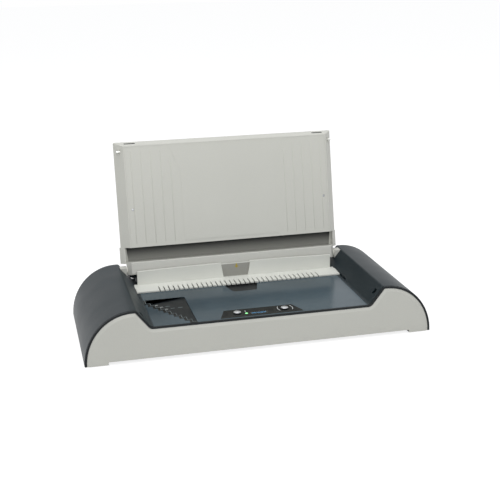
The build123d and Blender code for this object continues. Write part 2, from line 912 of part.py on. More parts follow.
def thermal_fuse():
    """One-shot fuse at the heater's other end."""
    y = (well_inner_front + well_inner_back) / 2
    z = heater_bottom - fuse_radius
    body = rod(fuse_radius, (-sensor_x, y - fuse_length / 2, z), (-sensor_x, y + fuse_length / 2, z))
    lead = rod(0.5, (-sensor_x, y - fuse_length / 2 - 8, z), (-sensor_x, y + fuse_length / 2 + 8, z))
    return body + lead


# ---------------------------------------------------------------- lid
def stand_lid(shape):
    """Turn a lid piece from upright to its open lean and set it on the hinge."""
    return Pos(0, hinge_y, hinge_z) * Rot(-lid_lean, 0, 0) * shape


def lid_half(y):
    """Half width of the lid's drafted sides at a depth."""
    return lid_half_front + (y + lid_front) * lid_taper


def lid_slice(y0, y1, inset=0.0):
    """Outline of the lid's cross-section, seen from above."""
    return outline([
        (lid_half(y0) - inset, y0),
        (lid_half(y1) - inset, y1),
        (-lid_half(y1) + inset, y1),
        (-lid_half(y0) + inset, y0),
    ])


def edge_cut(drop=0.0):
    """The space in front of the lid's slanted free edge."""
    face = outline([
        (-lid_front - 1, lid_length - lid_edge_inset - drop - edge_slope),
        (lid_back + 1, lid_length - drop + edge_slope),
        (lid_back + 1, lid_length + 10),
        (-lid_front - 1, lid_length + 10),
    ])
    return along_x(face, -lid_half_back - 5, lid_half_back + 5)


def lid_shell():
    """Outer shell of the lid: back, drafted sides and free edge."""
    skin_front = lid_back - lid_skin
    back_corners = [(lid_half_back, lid_back), (-lid_half_back, lid_back)]
    section = round_near(lid_slice(-lid_front, lid_back), back_corners, lid_round + 0.3)
    body = along_z(section, pocket_top, lid_length + 1) - edge_cut()
    free_edge = body.faces().sort_by(Axis.Z)[-1]
    body = fillet([e for e in free_edge.edges() if e.center().Y > 0.5 - lid_front], lid_round)
    hollow = along_z(lid_slice(-lid_front - 1, skin_front, lid_skin), pocket_top - 1, lid_length)
    body -= hollow - edge_cut(lid_skin)
    pocket = along_z(lid_slice(-pocket_rim, lid_back), lid_ear_start, pocket_top)
    pocket -= along_z(lid_slice(-pocket_rim - 1, skin_front, lid_skin), lid_ear_start - 1,
                      pocket_top + 1)
    tail = block(-rail_half, rail_half, skin_front, lid_back, -lid_tail, lid_ear_start)
    return body + pocket + tail


def lid_panel():
    """Raised inner face of the lid, with the wall that closes its lower end."""
    skin_front = lid_back - lid_skin
    y1 = -lid_front + panel_skin
    face = along_z(lid_slice(-lid_front, y1, lid_skin + touch_gap), pocket_top, lid_length)
    wall = along_z(lid_slice(-lid_front, skin_front, lid_skin + touch_gap), pocket_top,
                   pocket_top + panel_skin)
    panel = face + wall - edge_cut(lid_skin + touch_gap)
    top = lid_length - lid_edge_inset - lid_skin - 1.0
    centre = outline([
        (-centre_half_top, top),
        (centre_half_top, top),
        (centre_half_low, top - centre_fall),
        (centre_half_low, pocket_top + 6),
        (-centre_half_low, pocket_top + 6),
        (-centre_half_low, top - centre_fall),
    ])
    panel += along_y(centre, -lid_front - centre_raise, -lid_front + 0.5)
    for side in (-1, 1):
        panel -= rod(lid_screw_radius + 0.3, (side * lid_screw_x, -lid_front - 1, lid_screw_u),
                     (side * lid_screw_x, -lid_front + 1.0, lid_screw_u))
    return panel


def lid_rail():
    """Hinge rail across the lid's foot, with its two heels."""
    skin_front = lid_back - lid_skin
    limit = block(-rail_half, rail_half, -lid_front - 5, lid_back + 5, -lid_tail - 5, rail_top + 5)
    rail = along_z(lid_slice(-lid_front, skin_front), -lid_tail, rail_top) & limit
    foot_edge = [e for e in rail.edges().filter_by(Axis.X) if e.center().Y < -lid_front + 0.1]
    rail = fillet(foot_edge, 1.6)
    inner_half = rail_half - rail_bearing
    rail -= block(-inner_half, inner_half, -lid_front + rail_wall, skin_front + 1,
                  -lid_tail + rail_wall, rail_top - rail_wall)
    for side in (-1, 1):
        rail += block(side * (heel_x - heel_width / 2), side * (heel_x + heel_width / 2),
                      lid_back - heel_thickness - lid_skin, skin_front, -heel_drop, -lid_tail + 1)
        rail += block(side * (heel_x - heel_width / 2), side * (heel_x + heel_width / 2),
                      skin_front - 1, lid_back, -heel_drop, -lid_tail)
        rail -= rod(hinge_pin_radius + hinge_fit, (side * (rail_half - pin_into_rail - 1), 0, 0),
                    (side * (rail_half + 1), 0, 0))
    return rail


def lid_buffers():
    """Dark rubber buffers set in the lid's free edge."""
    slant = math.degrees(math.atan2(lid_edge_inset, lid_front + lid_back))
    middle_y = (lid_back - lid_front) / 2
    middle_z = lid_length - lid_edge_inset / 2
    pad = Box(buffer_length, buffer_width, buffer_depth)
    pad = fillet(pad.edges().filter_by(Axis.Z), 1.2)
    pad = Rot(slant, 0, 0) * Pos(0, 0, -buffer_depth / 2) * pad
    return [Pos(side * buffer_x, middle_y, middle_z) * pad for side in (-1, 1)]


def latch_studs():
    """Round-nosed studs on the lid's sides."""
    root = lid_half(stud_back * -1)
    tip = root + stud_proud
    stud = rod(stud_radius, (root - lid_skin - 1.0, -stud_back, stud_u), (tip, -stud_back, stud_u))
    nose = stud.edges().group_by(Axis.X)[-1]
    return both_sides(fillet(nose, 0.9))


def lid_screws():
    """Two small screws that hold the inner face."""
    screws = []
    for side in (-1, 1):
        head = rod(lid_screw_radius, (side * lid_screw_x, -lid_front + 0.2, lid_screw_u),
                   (side * lid_screw_x, -lid_front + 1.0, lid_screw_u))
        screws.append(head)
    return screws


def hinge_bracket():
    """Right wedge that carries the hinge pin on the sloped wall."""
    top = shoulder_height - bracket_top_drop
    low = notch_floor + (bracket_inner + touch_gap - notch_half_floor) * slope_rise / slope_run
    face = outline([
        (bracket_inner, low + touch_gap),
        (bracket_inner, top),
        (slope_x(top) - 0.02, top),
    ])
    wedge = along_y(face, hinge_y - bracket_half, hinge_y + bracket_half)
    wedge -= rod(hinge_pin_radius, (bracket_inner - 1, hinge_y, hinge_z),
                 (slope_x(hinge_z) + 2, hinge_y, hinge_z))
    return wedge


def hinge_block():
    """Right inner block that takes the hinge pin's far end."""
    inner = slope_x(shoulder_height - shell_wall, shell_wall) + touch_gap
    body = block(inner, inner + hinge_block_reach, hinge_y - 9, hinge_y + 9,
                 hinge_z - 12, shoulder_height - shell_wall)
    body = body & along_y(end_view(shell_wall), hinge_y - 10, hinge_y + 10)
    body -= rod(hinge_pin_radius, (inner - 1, hinge_y, hinge_z),
                (inner + hinge_block_reach + 1, hinge_y, hinge_z))
    return body


def hinge_pin():
    """Right hinge pin."""
    inner = slope_x(shoulder_height - shell_wall, shell_wall) + touch_gap
    pin = rod(hinge_pin_radius, (rail_half - pin_into_rail + 1, hinge_y, hinge_z),
              (inner + hinge_block_reach - 1, hinge_y, hinge_z))
    return pin


def hinge_washer():
    """Right friction washer between the rail and its bracket."""
    return tube(washer_radius, hinge_pin_radius, (rail_half + 0.1, hinge_y, hinge_z),
                (bracket_inner, hinge_y, hinge_z))


def stop_pads():
    """Rubber pads that the open lid's heels rest on."""
    tip_y = hinge_y + lid_back * math.cos(lean) - heel_drop * math.sin(lean)
    tip_z = hinge_z - lid_back * math.sin(lean) - heel_drop * math.cos(lean)
    pads = []
    for side in (-1, 1):
        pads.append(block(side * (heel_x - 8), side * (heel_x + 8), tip_y - 2.5, tip_y + 4,
                          rear_deck_top, tip_z - 0.1))
    return group(pads)


# ---------------------------------------------------------------- power
def mains_inlet():
    """Appliance inlet in the right casing's back."""
    flange = Pos(inlet_x, back_face + inlet_flange_thickness / 2, inlet_z) * Box(
        inlet_flange[0], inlet_flange_thickness, inlet_flange[1])
    flange = fillet(flange.edges().filter_by(Axis.Y), 3.0)
    body = block(inlet_x - inlet_body[0] / 2, inlet_x + inlet_body[0] / 2,
                 back_face - inlet_depth, back_face + 0.5,
                 inlet_z - inlet_body[1] / 2, inlet_z + inlet_body[1] / 2)
    half_x = socket_size[0] / 2
    half_z = socket_size[1] / 2
    mouth = back_face + inlet_flange_thickness
    cut = 4.0
    socket = outline([
        (inlet_x - half_x, inlet_z - half_z),
        (inlet_x + half_x, inlet_z - half_z),
        (inlet_x + half_x, inlet_z + half_z - cut),
        (inlet_x + half_x - cut, inlet_z + half_z),
        (inlet_x - half_x + cut, inlet_z + half_z),
        (inlet_x - half_x, inlet_z + half_z - cut),
    ])
    return flange + body - along_y(socket, mouth - socket_depth, mouth + 1)


def inlet_pins():
    """Three contact pins of the inlet, with their tags."""
    floor = back_face + inlet_flange_thickness - socket_depth
    tag_end = back_face - inlet_depth - 6.0
    pins = []
    for x, z in ((-inlet_pin_pitch, -2.0), (0.0, 2.0), (inlet_pin_pitch, -2.0)):
        half_x = inlet_pin_size[0] / 2
        half_z = inlet_pin_size[1] / 2
        pins.append(block(inlet_x + x - half_x, inlet_x + x + half_x, floor, floor + inlet_pin_length,
                          inlet_z + z - half_z, inlet_z + z + half_z))
        pins[-1] += block(inlet_x + x - 0.4, inlet_x + x + 0.4, tag_end, floor + 1,
                          inlet_z + z - half_z, inlet_z + z + half_z)
    return group(pins)


pivot_y = back_face + rocker_set_back - rocker_proud


def switch_frame():
    """Body and rim of the power switch."""
    flange = Pos(switch_x, back_face + switch_flange_thickness / 2, switch_z) * Box(
        switch_flange[0], switch_flange_thickness, switch_flange[1])
    flange = fillet(flange.edges().filter_by(Axis.Y), 1.5)
    body = block(switch_x - switch_body[0] / 2, switch_x + switch_body[0] / 2,
                 back_face - switch_depth, back_face + 0.5,
                 switch_z - switch_body[1] / 2, switch_z + switch_body[1] / 2)
    half_x = rocker_half_width + 0.25
    half_z = rocker_radius + 0.3
    hollow = block(switch_x - half_x, switch_x + half_x, pivot_y - rocker_radius - 0.5,
                   back_face + 5, switch_z - half_z, switch_z + half_z)
    bore = rod(rocker_pivot_radius + rocker_fit,
               (switch_x - rocker_half_width - rocker_pivot_length - 0.1, pivot_y, switch_z),
               (switch_x + rocker_half_width + rocker_pivot_length + 0.1, pivot_y, switch_z))
    return flange + body - hollow - bore


def power_rocker():
    """Rocker of the power switch, lying in its off position."""
    lobe = rod(rocker_radius, (-rocker_half_width, 0, 0), (rocker_half_width, 0, 0))
    slope = rocker_radius * math.tan(math.radians(rocker_tilt))
    edge = rocker_proud + 2.2
    keep = outline([
        (-3.0, -rocker_radius),
        (edge, -rocker_radius),
        (edge - slope, 0),
        (edge, rocker_radius),
        (-3.0, rocker_radius),
    ])
    rocker = lobe & along_x(keep, -rocker_half_width, rocker_half_width)
    rocker += rod(rocker_pivot_radius, (-rocker_half_width - rocker_pivot_length, 0, 0),
                  (rocker_half_width + rocker_pivot_length, 0, 0))
    return Pos(switch_x, pivot_y, switch_z) * Rot(-rocker_tilt, 0, 0) * rocker


def power_parts():
    """Power board and what stands on it."""
    x0, x1 = power_board_x
    y0, y1 = power_board_y
    low = tray_top + power_board_post
    top = low + board_thickness
    board = block(x0, x1, y0, y1, low, top)
    transformer = block(x0 + 6, x0 + 36, y0 + 6, y0 + 32, top, top + 22)
    transformer += block(x0 + 9, x0 + 33, y0 + 3, y0 + 35, top + 5, top + 17)
    relay = block(x0 + 6, x0 + 24, y0 + 46, y0 + 61, top, top + 15)
    relay = fillet(relay.edges().filter_by(Axis.Z), 0.8)
    capacitor = block(x0 + 28, x0 + 38, y0 + 44, y0 + 70, top, top + 16)
    capacitor = fillet(capacitor.edges().filter_by(Axis.Z), 1.0)
    fuse = rod(2.6, (x0 + 10, y0 + 70, top + 4), (x0 + 10, y0 + 90, top + 4))
    clips = []
    for y in (y0 + 71.5, y0 + 86.5):
        clip = block(x0 + 6.8, x0 + 13.2, y, y + 2, top, top + 5.0)
        clips.append(clip - rod(2.6, (x0 + 10, y - 1, top + 4), (x0 + 10, y + 3, top + 4)))
    return board, transformer, relay, capacitor, fuse, group(clips)


def internal_leads():
    """Leads from the inlet to the board, and from the board to the heater."""
    x1 = power_board_x[1]
    y1 = power_board_y[1]
    top = tray_top + power_board_post + board_thickness
    tag_y = back_face - inlet_depth - 6.0
    leads = []
    for side in (-1, 1):
        x = inlet_x + side * inlet_pin_pitch
        end_x = x1 - 12 + side * 4
        leads.append(wire_run([
            (x, tag_y, inlet_z - 2.0),
            (x, tag_y - 14, inlet_z - 2.0),
            (end_x, y1 - 12, top + 16),
            (end_x, y1 - 12, top),
        ], 1.1))
    y = (well_inner_front + well_inner_back) / 2
    for side in (-1, 1):
        x = sensor_x + side * 3.5
        end_x = power_board_x[0] + 20 + side * 1.5
        leads.append(wire_run([
            (x, y, heater_bottom - thermostat_height - thermostat_tag),
            (x, y, 13.0 + side * 1.2),
            (deck_half + 22 + side * 1.5, y, 13.0 + side * 1.2),
            (end_x, y1 + 8, top + 6),
            (end_x, y1 - 6, top + 6),
            (end_x, y1 - 6, top),
        ], 0.9))
    return group(leads)


def flat_cable():
    """Flat cable between the sockets of the two boards."""
    high = board_bottom - 4.0
    low = tray_top + power_board_post + board_thickness + 3.0
    start = cable_socket_x[1]
    end = power_board_x[0] + 1
    upper = [(start, high), (150.0, high), (172.0, low), (end, low)]
    lower = [(x, z - 0.8) for x, z in reversed(upper)]
    return along_y(outline(upper + lower), cable_y - 2.5, cable_y + 2.5)


# ---------------------------------------------------------------- write every piece
def pieces():
    """Every node of the machine, by name."""
    right_casing = side_casing()
    plate, element, insulator, trough = heater_parts()
    buzzer, sockets = board_parts()
    board, transformer, relay, capacitor, fuse, clips = power_parts()
    pins = inlet_pins()
    inlet = mains_inlet()
    for pin in pins.solids():
        inlet -= pin
    bracket = hinge_bracket()
    rod_holder = rod_bracket()
    return_spring = guide_spring()
    buffers = lid_buffers()
    shell = lid_shell()
    for pad in buffers:
        shell -= pad
    studs = latch_studs()
    for stud in studs:
        shell -= stud
    panel = lid_panel()
    for pad in buffers:
        panel -= pad
    return {
        "bottom_tray": bottom_tray(),
        "rubber_feet": rubber_feet(),
        "casing_screws": casing_screws(),
        "left_side_casing": mirror(right_casing, about=Plane.YZ),
        "right_side_casing": back_cutouts(right_casing),
        "rear_cover": rear_cover(),
        "front_fascia": front_fascia(),
        "front_trim_frame": front_trim(),
        "chassis_frame": chassis_frame(),
        "deck_panel": deck_panel(),
        "spine_gauge": spine_gauge(),
        "control_plate": control_plate(),
        "display_window": display_window(),
        "display_module": display_module(),
        "status_lamp": status_lamp(),
        "start_button": push_button(button_x[0]),
        "select_button": push_button(button_x[1]),
        "start_button_spring": button_spring(button_x[0]),
        "select_button_spring": button_spring(button_x[1]),
        "tact_switches": tact_switches(),
        "control_board": control_board(),
        "buzzer": buzzer,
        "cable_sockets": sockets,
        "flat_cable": flat_cable(),
        "document_guide": document_guide(),
        "slider_blocks": slider_blocks(),
        "guide_rods": guide_rods(),
        "left_rod_bracket": mirror(rod_holder, about=Plane.YZ),
        "right_rod_bracket": rod_holder,
        "left_guide_spring": mirror(return_spring, about=Plane.YZ),
        "right_guide_spring": return_spring,
        "well_liner": well_liner(),
        "heater_plate": plate,
        "heating_element": element,
        "heater_insulator": insulator,
        "heater_trough": trough,
        "thermostat": thermostat(),
        "thermal_fuse": thermal_fuse(),
        "lid_outer_shell": stand_lid(shell),
        "lid_inner_panel": stand_lid(panel),
        "lid_hinge_rail": stand_lid(lid_rail()),
        "lid_edge_buffers": group([stand_lid(pad) for pad in buffers]),
        "latch_studs": group([stand_lid(stud) for stud in studs]),
        "lid_screws": group([stand_lid(screw) for screw in lid_screws()]),
        "left_hinge_bracket": mirror(bracket, about=Plane.YZ),
        "right_hinge_bracket": bracket,
        "hinge_blocks": group(both_sides(hinge_block())),
        "hinge_pins": group(both_sides(hinge_pin())),
        "hinge_washers": group(both_sides(hinge_washer())),
        "lid_stop_pads": stop_pads(),
        "mains_inlet": inlet,
        "inlet_pins": pins,
        "switch_frame": switch_frame(),
        "power_rocker": power_rocker(),
        "power_board": board,
        "board_transformer": transformer,
        "power_relay": relay,
        "line_capacitor": capacitor,
        "internal_leads": internal_leads(),
        "board_fuse": group([fuse, clips]),
    }


os.makedirs("parts", exist_ok=True)
to_origin = Pos(0, -centre_y, 0)
for name, shape in pieces().items():
    export_step(to_origin * shape, f"parts/{name}.step")
print(f"centre_y {centre_y:.3f}  hinge {hinge_y - centre_y:.3f} {hinge_z:.3f}")
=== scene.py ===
"""Studio scene of a desktop thermal binding machine with its lid standing open.

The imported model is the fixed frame. Each class below is one sub-assembly: it holds its sizes
in millimetres, models the pieces that the solids leave plain, and dresses them. The finishes
are small classes of their own, and the studio class makes floor, lamps and camera.
"""
from __future__ import annotations

import logging
import math
from dataclasses import dataclass, field
from enum import Enum
from typing import Callable, Sequence

import bmesh
import bpy
from mathutils import Matrix, Vector

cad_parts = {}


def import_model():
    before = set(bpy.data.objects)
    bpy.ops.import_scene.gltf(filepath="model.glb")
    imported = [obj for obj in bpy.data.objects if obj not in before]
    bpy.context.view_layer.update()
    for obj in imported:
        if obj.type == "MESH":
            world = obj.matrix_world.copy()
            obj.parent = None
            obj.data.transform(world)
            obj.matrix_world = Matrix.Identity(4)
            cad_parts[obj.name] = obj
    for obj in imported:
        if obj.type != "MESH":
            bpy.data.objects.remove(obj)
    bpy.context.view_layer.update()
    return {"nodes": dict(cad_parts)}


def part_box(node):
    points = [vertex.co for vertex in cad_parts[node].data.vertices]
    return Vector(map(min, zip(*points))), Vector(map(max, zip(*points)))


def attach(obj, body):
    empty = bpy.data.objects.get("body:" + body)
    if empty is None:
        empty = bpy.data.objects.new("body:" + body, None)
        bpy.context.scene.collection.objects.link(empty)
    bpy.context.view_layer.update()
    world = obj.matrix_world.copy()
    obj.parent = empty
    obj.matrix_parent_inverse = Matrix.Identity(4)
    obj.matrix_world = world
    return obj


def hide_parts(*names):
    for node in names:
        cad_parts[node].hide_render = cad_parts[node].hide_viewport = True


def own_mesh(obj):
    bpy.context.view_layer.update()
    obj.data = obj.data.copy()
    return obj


LOG = logging.getLogger("binding_machine")
MM = 0.001
CASING_Y = -15.186  # the casing's middle along Y, in millimetres
DECK_Z = 52.4  # the deck panel's surface above the table
CORNERS = ((-1, -1), (-1, 1), (1, -1), (1, 1))  # signs of X and Y at the casing's four corners
Colour = tuple[int, int, int]
Piece = bpy.types.Object
Test = Callable[[Vector, Vector], bool]


def mm(x: float, y: float, z: float) -> Vector:
    """Give a place stated in millimetres as a vector in metres."""
    return Vector((x, y, z)) * MM


def deck(x: float, y: float, z: float = 0.0) -> Vector:
    """Give a place stated from the casing's middle and the deck's surface, in millimetres."""
    return mm(x, y + CASING_Y, z + DECK_Z)


def linear(colour: Colour) -> tuple[float, float, float, float]:
    """Turn a screen colour into the linear one that shaders take.

    Args:
        colour: Red, green and blue from 0 to 255.

    Returns:
        Linear red, green, blue and full cover.
    """
    parts = []
    for value in colour:
        share = value / 255
        parts.append(share / 12.92 if share <= 0.04045 else ((share + 0.055) / 1.055) ** 2.4)
    return (parts[0], parts[1], parts[2], 1.0)


def shaded(colour: Colour, factor: float) -> Colour:
    """Give the colour lighter or darker by a factor."""
    return tuple(int(max(0, min(255, round(value * factor)))) for value in colour)


# ------------------------------------------------------------------ materials
class Recipe:
    """A node material in the making, with short calls for what the finishes share."""

    def __init__(self, name: str) -> None:
        """Start a material.

        Args:
            name: The material's name.
        """
        self.material = bpy.data.materials.new(name)
        self.material.use_nodes = True
        self.tree = self.material.node_tree
        self.shader = self.tree.nodes["Principled BSDF"]
        self.place = self.tree.nodes.new("ShaderNodeTexCoord").outputs["Object"]

    def add(self, kind: str, inputs: dict | None = None, **settings: object) -> bpy.types.Node:
        """Add a node.

        Args:
            kind: The node's type without the word ShaderNode.
            inputs: What goes into each socket: another node's output, or a value.
            **settings: The node's own settings.

        Returns:
            The new node.
        """
        node = self.tree.nodes.new("ShaderNode" + kind)
        for key, value in settings.items():
            setattr(node, key, value)
        for socket, value in (inputs or {}).items():
            if isinstance(value, bpy.types.NodeSocket):
                self.tree.links.new(value, node.inputs[socket])
            else:
                node.inputs[socket].default_value = value
        return node

    def math(self, operation: str, *values: object) -> bpy.types.NodeSocket:
        """Work out one number from others.

        Args:
            operation: The Math node's operation.
            *values: Outputs or numbers.

        Returns:
            The result's socket.
        """
        return self.add("Math", dict(enumerate(values)), operation=operation).outputs[0]

    def stretched(self, scale: Sequence[float]) -> bpy.types.NodeSocket:
        """Give the object coordinates scaled per axis.

        Args:
            scale: Factor along X, Y and Z.

        Returns:
            The mapped vector's socket.
        """
        return self.add("Mapping", {"Vector": self.place, "Scale": tuple(scale)}).outputs[0]

    def noise(self, size_mm: float, detail: float = 2.0,
              where: bpy.types.NodeSocket | None = None) -> bpy.types.NodeSocket:
        """Give a soft random pattern.

        Args:
            size_mm: Rough size of its patches.
            detail: How many finer layers lie on it.
            where: The vector it reads, the object coordinates if left out.

        Returns:
            The pattern from 0 to 1.
        """
        inputs = {"Vector": where or self.place, "Scale": 1 / (size_mm * MM), "Detail": detail,
                  "Roughness": 0.55}
        return self.add("TexNoise", inputs).outputs["Fac"]

    def ramp(self, fac: bpy.types.NodeSocket, stops: Sequence[tuple[float, Colour]],
             sharp: bool = False) -> bpy.types.NodeSocket:
        """Turn a pattern into colours.

        Args:
            fac: The pattern.
            stops: Places from 0 to 1 with their colours, in order.
            sharp: Whether a colour holds up to the next stop.

        Returns:
            The colour's socket.
        """
        node = self.add("ValToRGB", {0: fac})
        ramp = node.color_ramp
        ramp.interpolation = "CONSTANT" if sharp else "LINEAR"
        while len(ramp.elements) < len(stops):
            ramp.elements.new(0.5)
        for element, (place, colour) in zip(ramp.elements, stops):
            element.position = place
            element.color = linear(colour)
        return node.outputs[0]

    def mixed(self, fac: bpy.types.NodeSocket, first: object, second: object) -> bpy.types.NodeSocket:
        """Mix two colours by a pattern.

        Args:
            fac: 0 gives the first colour and 1 the second.
            first: A colour, or a socket that gives one.
            second: The same for the second.

        Returns:
            The mixed colour's socket.
        """
        first, second = (linear(c) if isinstance(c, tuple) else c for c in (first, second))
        node = self.add("Mix", {0: fac, 6: first, 7: second}, data_type="RGBA")
        return node.outputs[2]

    def level(self, fac: bpy.types.NodeSocket, low: float, high: float) -> bpy.types.NodeSocket:
        """Spread a pattern from 0..1 over low..high."""
        return self.add("MapRange", {"Value": fac, "From Min": 0.3, "From Max": 0.7,
                                     "To Min": low, "To Max": high}).outputs[0]

    def shade(self, **sockets: object) -> None:
        """Set the shader's sockets, with an underscore for each space in a name.

        Args:
            **sockets: A value, a colour from 0 to 255, or a node's output for each.
        """
        for name, value in sockets.items():
            socket = self.shader.inputs[name.replace("_", " ")]
            if isinstance(value, bpy.types.NodeSocket):
                self.tree.links.new(value, socket)
            elif isinstance(value, tuple) and len(value) == 3:
                socket.default_value = linear(value)
            else:
                socket.default_value = value

    def relief(self, height: bpy.types.NodeSocket, depth_mm: float, strength: float = 1.0) -> None:
        """Raise the surface by a pattern.

        Args:
            height: The pattern.
            depth_mm: How deep it goes.
            strength: How much of it shows.
        """
        bump = self.add("Bump", {"Height": height, "Distance": depth_mm * MM, "Strength": strength})
        self.shade(Normal=bump.outputs[0])


@dataclass(frozen=True)
class Finish:
    """What every finish has: a name, a colour and how rough it is."""

    name: str
    colour: Colour
    rough: float = 0.45

    def paint(self, recipe: Recipe) -> None:
        """Lay the finish's own nodes.

        Args:
            recipe: The material in the making.
        """
        raise NotImplementedError

    def material(self) -> bpy.types.Material:
        """Make the finish's material, or give it if it was made before.

        Returns:
            The material.
        """
        made = bpy.data.materials.get(self.name)
        if made is None:
            recipe = Recipe(self.name)
            self.paint(recipe)
            made = recipe.material
        return made


@dataclass(frozen=True)
class MouldedPlastic(Finish):
    """Moulded plastic or rubber: slow shade changes, mould grain and patches of gloss."""

    change: float = 0.03
    patch_mm: float = 70.0
    grain_mm: float = 0.45
    grain_depth_mm: float = 0.02
    flake: float = 0.0
    shine: float = 0.5

    def paint(self, recipe: Recipe) -> None:
        """Lay patches of shade and gloss under a fine grain."""
        patches = recipe.noise(self.patch_mm, 3.0)
        grain = recipe.noise(self.grain_mm, 1.0)
        low, high = shaded(self.colour, 1 - self.change), shaded(self.colour, 1 + self.change)
        colour = recipe.ramp(patches, [(0.3, low), (0.7, high)])
        if self.flake:
            bright = recipe.ramp(grain, [(0.6, (0, 0, 0)), (0.75, (255, 255, 255))])
            share = recipe.math("MULTIPLY", bright, self.flake)
            colour = recipe.mixed(share, colour, shaded(self.colour, 1.3))
        recipe.shade(Base_Color=colour, Specular_IOR_Level=self.shine,
                     Roughness=recipe.level(patches, self.rough * 0.9, self.rough * 1.1))
        recipe.relief(grain, self.grain_depth_mm, 0.6)


@dataclass(frozen=True)
class TwoShotCap(MouldedPlastic):
    """A bright cap on a dark side: the colour changes at a height."""

    side: Colour = (16, 18, 19)
    edge_z_mm: float = 54.0

    def paint(self, recipe: Recipe) -> None:
        """Lay the cap's metal paint above the edge and bare dark plastic below it."""
        height = recipe.add("SeparateXYZ", {0: recipe.place}).outputs[2]
        above = recipe.math("GREATER_THAN", height, self.edge_z_mm * MM)
        flake = recipe.noise(self.grain_mm, 1.0)
        cap = recipe.ramp(flake, [(0.35, shaded(self.colour, 0.93)), (0.65, shaded(self.colour, 1.06))])
        recipe.shade(Base_Color=recipe.mixed(above, self.side, cap),
                     Metallic=recipe.math("MULTIPLY", above, 0.75),
                     Roughness=recipe.level(flake, self.rough * 0.85, self.rough * 1.15))
        recipe.relief(flake, self.grain_depth_mm, 0.5)


@dataclass(frozen=True)
class PocketShade(MouldedPlastic):
    """Painted shade: plastic that darkens upward, toward the overhanging edge that shades it."""

    # deep: the colour of the painted shadow where the pocket is darkest, under the overhang.
    deep: Colour = (48, 49, 48)
    low_z_mm: float = 88.0
    high_z_mm: float = 106.0

    def paint(self, recipe: Recipe) -> None:
        """Lay the change of shade over the height, under a fine grain."""
        height = recipe.add("SeparateXYZ", {0: recipe.place}).outputs[2]
        share = recipe.add("MapRange", {"Value": height, "From Min": self.low_z_mm * MM,
                                        "From Max": self.high_z_mm * MM}).outputs[0]
        cloudy = recipe.math("MULTIPLY_ADD", recipe.noise(self.patch_mm), self.change, share)
        recipe.shade(Base_Color=recipe.ramp(cloudy, [(0.0, self.colour), (1.0, self.deep)]),
                     Roughness=self.rough, Specular_IOR_Level=self.shine)
        recipe.relief(recipe.noise(self.grain_mm, 1.0), self.grain_depth_mm, 0.6)


@dataclass(frozen=True)
class Metal(Finish):
    """Metal with drawn or rolled streaks along one axis."""

    along: str = "x"
    streak_mm: float = 0.25
    streak_depth_mm: float = 0.01
    tarnish: float = 0.08

    def paint(self, recipe: Recipe) -> None:
        """Lay long thin streaks over slow changes of shade."""
        scale = [1.0, 1.0, 1.0]
        scale["xyz".index(self.along)] = 0.03
        streaks = recipe.noise(self.streak_mm, 2.0, recipe.stretched(scale))
        clouds = recipe.noise(18.0, 3.0)
        low, high = shaded(self.colour, 1 - self.tarnish), shaded(self.colour, 1 + self.tarnish / 2)
        recipe.shade(Base_Color=recipe.ramp(clouds, [(0.3, low), (0.7, high)]), Metallic=1.0,
                     Roughness=recipe.level(streaks, self.rough * 0.8, self.rough * 1.25))
        recipe.relief(streaks, self.streak_depth_mm, 0.5)


@dataclass(frozen=True)
class GlossDeck(Finish):
    """Dark deck moulded as smooth as glass: a polished coat with a faint wave under it."""

    coat: float = 0.8
    shine: float = 0.35

    def paint(self, recipe: Recipe) -> None:
        """Lay a slow change of shade, faint clouds of handling and the polished coat."""
        slow = recipe.noise(160.0, 2.0)
        clouds = recipe.noise(14.0, 4.0)
        base = recipe.ramp(slow, [(0.3, shaded(self.colour, 0.88)), (0.7, shaded(self.colour, 1.12))])
        recipe.shade(Base_Color=base, Roughness=recipe.level(clouds, self.rough * 0.8, self.rough * 1.3),
                     Coat_Weight=self.coat, Coat_Roughness=0.05, Specular_IOR_Level=self.shine)
        recipe.relief(recipe.noise(45.0, 1.0), 0.02, 0.25)


@dataclass(frozen=True)
class ClearPane(Finish):
    """Clear window pane with a faint haze."""

    def paint(self, recipe: Recipe) -> None:
        """Let light through, with a haze of fine scratches."""
        haze = recipe.noise(2.5, 4.0)
        tint = recipe.ramp(haze, [(0.3, shaded(self.colour, 0.97)), (0.7, self.colour)])
        recipe.shade(Base_Color=tint,
                     Transmission_Weight=1.0, IOR=1.3,
                     Roughness=recipe.level(haze, self.rough * 0.5, self.rough * 1.5))


@dataclass(frozen=True)
class BarDisplay(Finish):
    """Dark display that shows one plain row of glowing bars, as a level indicator does."""

    glow: Colour = (88, 176, 232)
    centre_mm: tuple[float, float] = (-3.0, -109.7)
    half_mm: tuple[float, float] = (11.0, 1.9)
    pitch_mm: float = 1.5
    strength: float = 0.9

    def paint(self, recipe: Recipe) -> None:
        """Light every bar to a height of its own inside the row."""
        place = recipe.add("SeparateXYZ", {0: recipe.place})
        across = recipe.math("SUBTRACT", place.outputs[0], self.centre_mm[0] * MM)
        along = recipe.math("SUBTRACT", place.outputs[1], self.centre_mm[1] * MM)
        count = recipe.math("DIVIDE", across, self.pitch_mm * MM)
        gap = recipe.math("GREATER_THAN", recipe.math("FRACT", count), 0.3)
        chance = recipe.add("TexWhiteNoise", {"W": recipe.math("FLOOR", count)},
                            noise_dimensions="1D").outputs["Value"]
        height = recipe.math("MULTIPLY_ADD", chance, 0.5, 0.5)
        reach = recipe.math("MULTIPLY", height, self.half_mm[1] * MM)
        tall = recipe.math("LESS_THAN", recipe.math("ABSOLUTE", along), reach)
        wide = recipe.math("LESS_THAN", recipe.math("ABSOLUTE", across), self.half_mm[0] * MM)
        lit = recipe.math("MULTIPLY", recipe.math("MULTIPLY", gap, tall), wide)
        glow = recipe.mixed(recipe.noise(6.0), shaded(self.glow, 0.85), self.glow)
        recipe.shade(Base_Color=recipe.mixed(recipe.noise(9.0), self.colour, shaded(self.colour, 1.4)),
                     Roughness=self.rough, Emission_Color=glow,
                     Emission_Strength=recipe.math("MULTIPLY", lit, self.strength))


